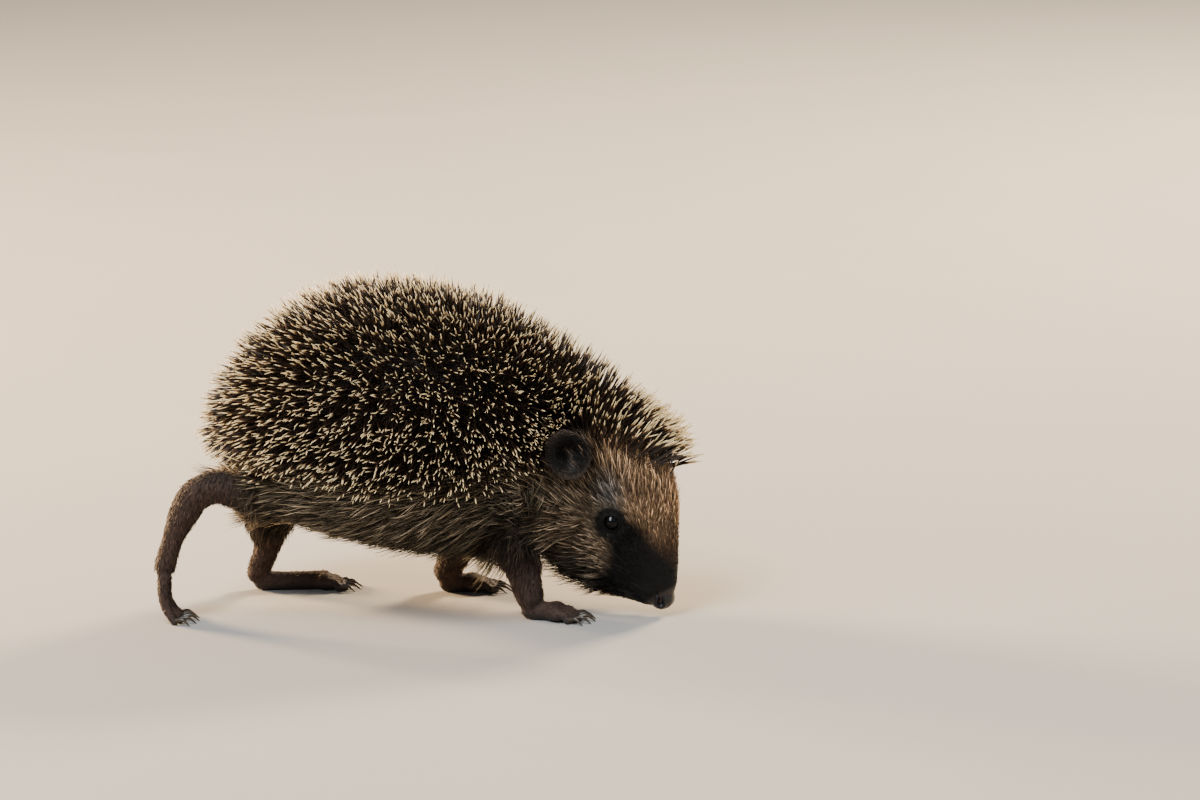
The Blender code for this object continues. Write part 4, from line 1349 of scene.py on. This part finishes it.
def tuft_paths(roots, normals, sizes, strands, steps):
    """The strands' paths: a fan of starts, a lean with the lie, and tips drawn together."""
    count = len(roots)
    lie = lie_of_fur(roots, normals)
    swing = rng.normal(0.0, 0.13, count) + 0.13 * wavering(roots, 8, 14.0)
    side = np.cross(normals, lie)
    lie = lie * np.cos(swing)[:, None] + side * np.sin(swing)[:, None]
    side = np.cross(normals, lie)
    length, lift, radius = (sizes[:, i, None] for i in range(3))
    turn = np.arange(strands) * GOLDEN_ANGLE + rng.uniform(0.0, 2.0 * math.pi, (count, 1))
    reach = np.sqrt((np.arange(strands) + 0.5) / strands) * (0.45 + 0.075 * length)
    length = length * rng.uniform(0.72, 1.15, (count, strands))
    lift = lift * rng.uniform(0.6, 1.4, (count, strands)) * rng.uniform(0.6, 1.5, (count, 1))
    length[:, 0] *= 1.15
    lift[:, 0] *= 1.15
    stray = rng.normal(0.0, 0.10, (count, strands))
    s = steps[None, None]
    draw = 1.0 - 0.55 * s
    ahead = (reach * np.sin(turn))[..., None] * draw + length[..., None] * s * 0.95
    aside = (reach * np.cos(turn))[..., None] * draw + (stray * length)[..., None] * s**2
    out = (lift * length)[..., None] * (1.25 * s - 0.45 * s**2) - 0.25
    paths = (roots[:, None, None] + lie[:, None, None] * ahead[..., None]
             + side[:, None, None] * aside[..., None] + normals[:, None, None] * out[..., None])
    return paths.reshape(count * strands, len(steps), 3), np.repeat(radius, strands, axis=1).ravel()


def fur_paint():
    """The marking's colour, darkened towards the root as painted shade inside the coat, lighter towards the
    tip, and lighter on the paler strands.
    """
    paint = Paint("fur", Roughness=0.55, Specular_IOR_Level=0.18)
    along = paint.attribute("along")
    tone = paint.attribute("tone")
    # Painted shade: each strand darkens towards its root, deep in the coat.
    root_shade_and_tone = (0.10 + along * 1.15) * (0.20 + tone * tone * 3.4)
    return paint.feed(Base_Color=paint.tinted(paint.attribute("markings", "Color"), root_shade_and_tone))


LONG_STEPS = np.array([0.0, 0.35, 0.72, 1.0])
LONG_RADII = np.array([0.75, 1.0, 0.72, 0.0])
SHORT_STEPS = np.array([0.0, 0.5, 1.0])
SHORT_RADII = np.array([0.8, 0.9, 0.0])


def guard_tones(roots, strands):
    """A tone for each strand: the first of a tuft is a pale guard hair, the rest are underfur.

    Whole locks are lighter or darker than their neighbours too.
    """
    tones = 0.65 * rng.random((len(roots), strands)) ** 1.5
    tones[:, 0] = rng.uniform(0.40, 1.0, len(roots))
    calm = 1.0 - 0.45 * head_share(roots, 58.0, 66.0)
    locks = 1.0 + calm * (0.30 * wavering(roots, 9, 3.2) + rng.normal(0.0, 0.22, len(roots)))
    locks *= 1.0 - 0.30 * leg_share(roots)
    return np.clip(tones * locks[:, None], 0.0, 1.2).ravel()


def grow_fur(name, slot, chosen, strands, short):
    """A piece of tufts, as thick as its place says, and a little thicker where it is pale."""
    roots, normals = trial_roots[chosen], trial_normals[chosen]
    steps, taper = (SHORT_STEPS, SHORT_RADII) if short else (LONG_STEPS, LONG_RADII)
    paths, radius = tuft_paths(roots, normals, fur_sizes(roots), strands, steps)
    tones = guard_tones(roots, strands)
    colours = np.repeat(coat_colour(roots), strands, axis=0)
    places = np.repeat(unrolled(roots, normals), strands, axis=0)
    radius = radius * (0.75 + 0.6 * tones)
    radii = radius[:, None] * taper
    tubes(name, slot, fur_material, paths, radii, 3, steps, tones, colours, places)


fur_material = fur_paint()
back, right, brow = (values[fur_roots] for values in (trial_back, trial_right, trial_brow))
leg = leg_share(trial_roots[fur_roots]) > 0.5
height, across = trial_roots[fur_roots, 2], trial_roots[fur_roots, 1]
on_head = (head_share(trial_roots[fur_roots], 58.0, 62.0) > 0.5) & ~leg
muzzle = on_head & (back < 24.0)
brow_part = on_head & ~muzzle & (brow > 6.0)
cheek_part = on_head & ~muzzle & (brow <= 6.0)
body = ~on_head & ~leg
belly = body & (height < 30.0)
flank = body & ~belly
# Each piece: name, slot, which roots, strands in a tuft, and whether its hair is short.
FUR_PIECES = (
    ("muzzle_fur", "face_fur", muzzle, 4, True),
    ("brow_fur_right", "face_fur", brow_part & (right > 0), 6, False),
    ("brow_fur_left", "face_fur", brow_part & (right <= 0), 6, False),
    ("cheek_fur_right", "face_fur", cheek_part & (right > 0), 6, False),
    ("cheek_fur_left", "face_fur", cheek_part & (right <= 0), 6, False),
    ("flank_fur_right", "body_fur", flank & (across < 0), 5, False),
    ("flank_fur_left", "body_fur", flank & (across >= 0), 5, False),
    ("belly_fur", "body_fur", belly, 5, False),
    ("leg_fur", "body_fur", leg, 4, True),
)
for name, slot, where, strands, short in FUR_PIECES:
    grow_fur(name, slot, fur_roots[where], strands, short)

# %% Down of the ears
def grow_ear_down():
    """A fine nap over both ears, which softens their edges."""
    near = np.flatnonzero((nearest(trial_roots, EARS) < 10.5) & (bare_share(trial_roots) > 0.4))
    chosen = near[spaced(trial_roots[near], np.full(len(near), 0.62))]
    roots, normals = trial_roots[chosen], trial_normals[chosen]
    sizes = np.tile(np.array([2.0, 0.45, 0.075]), (len(chosen), 1))
    paths, radius = tuft_paths(roots, normals, sizes, 3, SHORT_STEPS)
    tones = rng.random(len(paths))
    colours = np.repeat(1.5 * skin_colours(roots), 3, axis=0)
    places = np.repeat(unrolled(roots, normals), 3, axis=0)
    radii = radius[:, None] * SHORT_RADII
    tubes("ear_down", "face_fur", fur_material, paths, radii, 3, SHORT_STEPS, tones, colours, places)


grow_ear_down()


# %% [markdown]
# ## Whiskers
#
# A hedgehog feels its way with fine dark whiskers. They root in rows on the swelling behind the
# nose, and are longer towards the cheek. They are the same tubes as hairs, only longer.

# %% Whiskers
def grow_whiskers():
    """Fine dark whiskers from the swelling behind the nose, swept out and back in rows."""
    rows, count = 3, 5
    roots, ways = [], []
    for sign in SIDES:
        for row in range(rows):
            for place in range(count):
                back, brow = 6.5 + 2.3 * place + 0.5 * row, -4.8 + 2.0 * row + 0.25 * place
                roots.append((back, sign, brow))
                ways.append((0.45 + 0.12 * place, sign, -0.25 + 0.25 * row))
    roots, ways = np.array(roots), np.array(ways)
    half = through(HEAD, roots[:, 0])[:, 0]
    starts = np.array([in_head(b, s * h * 0.86, w) for (b, s, w), h in zip(roots, half)])
    ways = unit(ways[:, :1] * -FORWARD + ways[:, 1:2] * SIDE + ways[:, 2:] * BROW)
    ways = unit(ways + rng.normal(0.0, 0.08, ways.shape))
    lengths = (9.0 + 1.6 * (roots[:, 0] - 6.5)) * rng.uniform(0.8, 1.15, len(roots))
    steps = np.linspace(0.0, 1.0, 8)
    droop = np.array([0.0, 0.0, -0.16]) - 0.22 * FORWARD
    curve = ways[:, None] * steps[:, None] + droop * (steps**2)[:, None]
    paths = starts[:, None] + lengths[:, None, None] * curve
    radii = 0.13 * (1.0 - 0.85 * steps) * np.ones((len(roots), 1))
    tones, colours = rng.random(len(roots)), np.tile(MASK_FUR * 2.0, (len(roots), 1))
    tubes("whiskers", "face_fur", fur_material, paths, radii, 5, steps, tones, colours,
          unrolled(starts, ways))


grow_whiskers()


# %% [markdown]
# ## Camera, light and floor
#
# A museum model is shown on a plain pale floor. The camera stands far off with a long lens, which
# keeps the animal's proportions true. A big soft lamp lights it from the camera's side, a second
# one puts the light in its eye, and two warm lamps behind it draw a rim along fur and spines.

# %% Camera
AIM = np.array([0.0612, 0.0, 0.0756])
ELEVATION = math.radians(11.0)
DISTANCE = 2.4
LENS = 200.0


def add_camera():
    """A camera that looks at the aim from the right side, a little from above."""
    back = Vector((0.0, -math.cos(ELEVATION), math.sin(ELEVATION)))
    camera = bpy.data.objects.new("camera", bpy.data.cameras.new("camera"))
    camera.data.lens = LENS
    camera.data.sensor_width = 36.0
    camera.data.clip_start = 0.05
    camera.data.clip_end = 50.0
    camera.location = Vector(AIM) + back * DISTANCE
    camera.rotation_euler = (-back).to_track_quat("-Z", "Y").to_euler()
    bpy.context.scene.collection.objects.link(camera)
    bpy.context.scene.camera = camera


add_camera()

# %% Floor
def add_floor():
    """A pale plane, wide enough to fill the view."""
    corners = np.array([(-9, -9, 0), (9, -9, 0), (9, 9, 0), (-9, 9, 0)], float) / MM
    floor = mesh_object("floor", corners, np.array([[0, 1, 2, 3]]))
    paint = Paint("floor", Roughness=0.9)
    speck = paint.noise(8.0)
    shade = paint.ramp(speck, (0.0, (0.35, 0.34, 0.325)), (1.0, (0.38, 0.37, 0.355)))
    floor.data.materials.append(paint.feed(Base_Color=shade))


add_floor()

# %% Lights
def add_light(name, place, size, power, colour):
    """A square soft box that faces the animal."""
    lamp = bpy.data.objects.new(name, bpy.data.lights.new(name, "AREA"))
    lamp.data.shape = "SQUARE"
    lamp.data.size = size
    lamp.data.energy = power
    lamp.data.color = colour
    lamp.location = place
    lamp.rotation_euler = (Vector(place) - Vector((0.0, 0.0, 0.06))).to_track_quat("Z", "Y").to_euler()
    bpy.context.scene.collection.objects.link(lamp)


# Each lamp: name, place, size, watts, colour.
LAMPS = (
    ("key", (-0.5, -0.7, 1.6), 0.6, 26.0, (1.0, 0.97, 0.90)),
    ("catch", (-0.69, -1.22, 1.18), 0.70, 22.0, (0.84, 0.90, 1.0)),
    ("rim_left", (-1.2, 0.75, 0.32), 0.4, 120.0, (1.0, 0.66, 0.34)),
    ("rim_right", (0.9, 1.2, 0.9), 0.4, 80.0, (1.0, 0.76, 0.48)),
    ("fill", (1.7, -0.5, 0.5), 1.2, 8.0, (0.94, 0.97, 1.0)),
)
for lamp in LAMPS:
    add_light(*lamp)
world = bpy.data.worlds.new("studio")
world.use_nodes = True
sky = world.node_tree.nodes["Background"].inputs
sky["Color"].default_value = (0.80, 0.86, 0.95, 1.0)
sky["Strength"].default_value = 0.38
bpy.context.scene.world = world
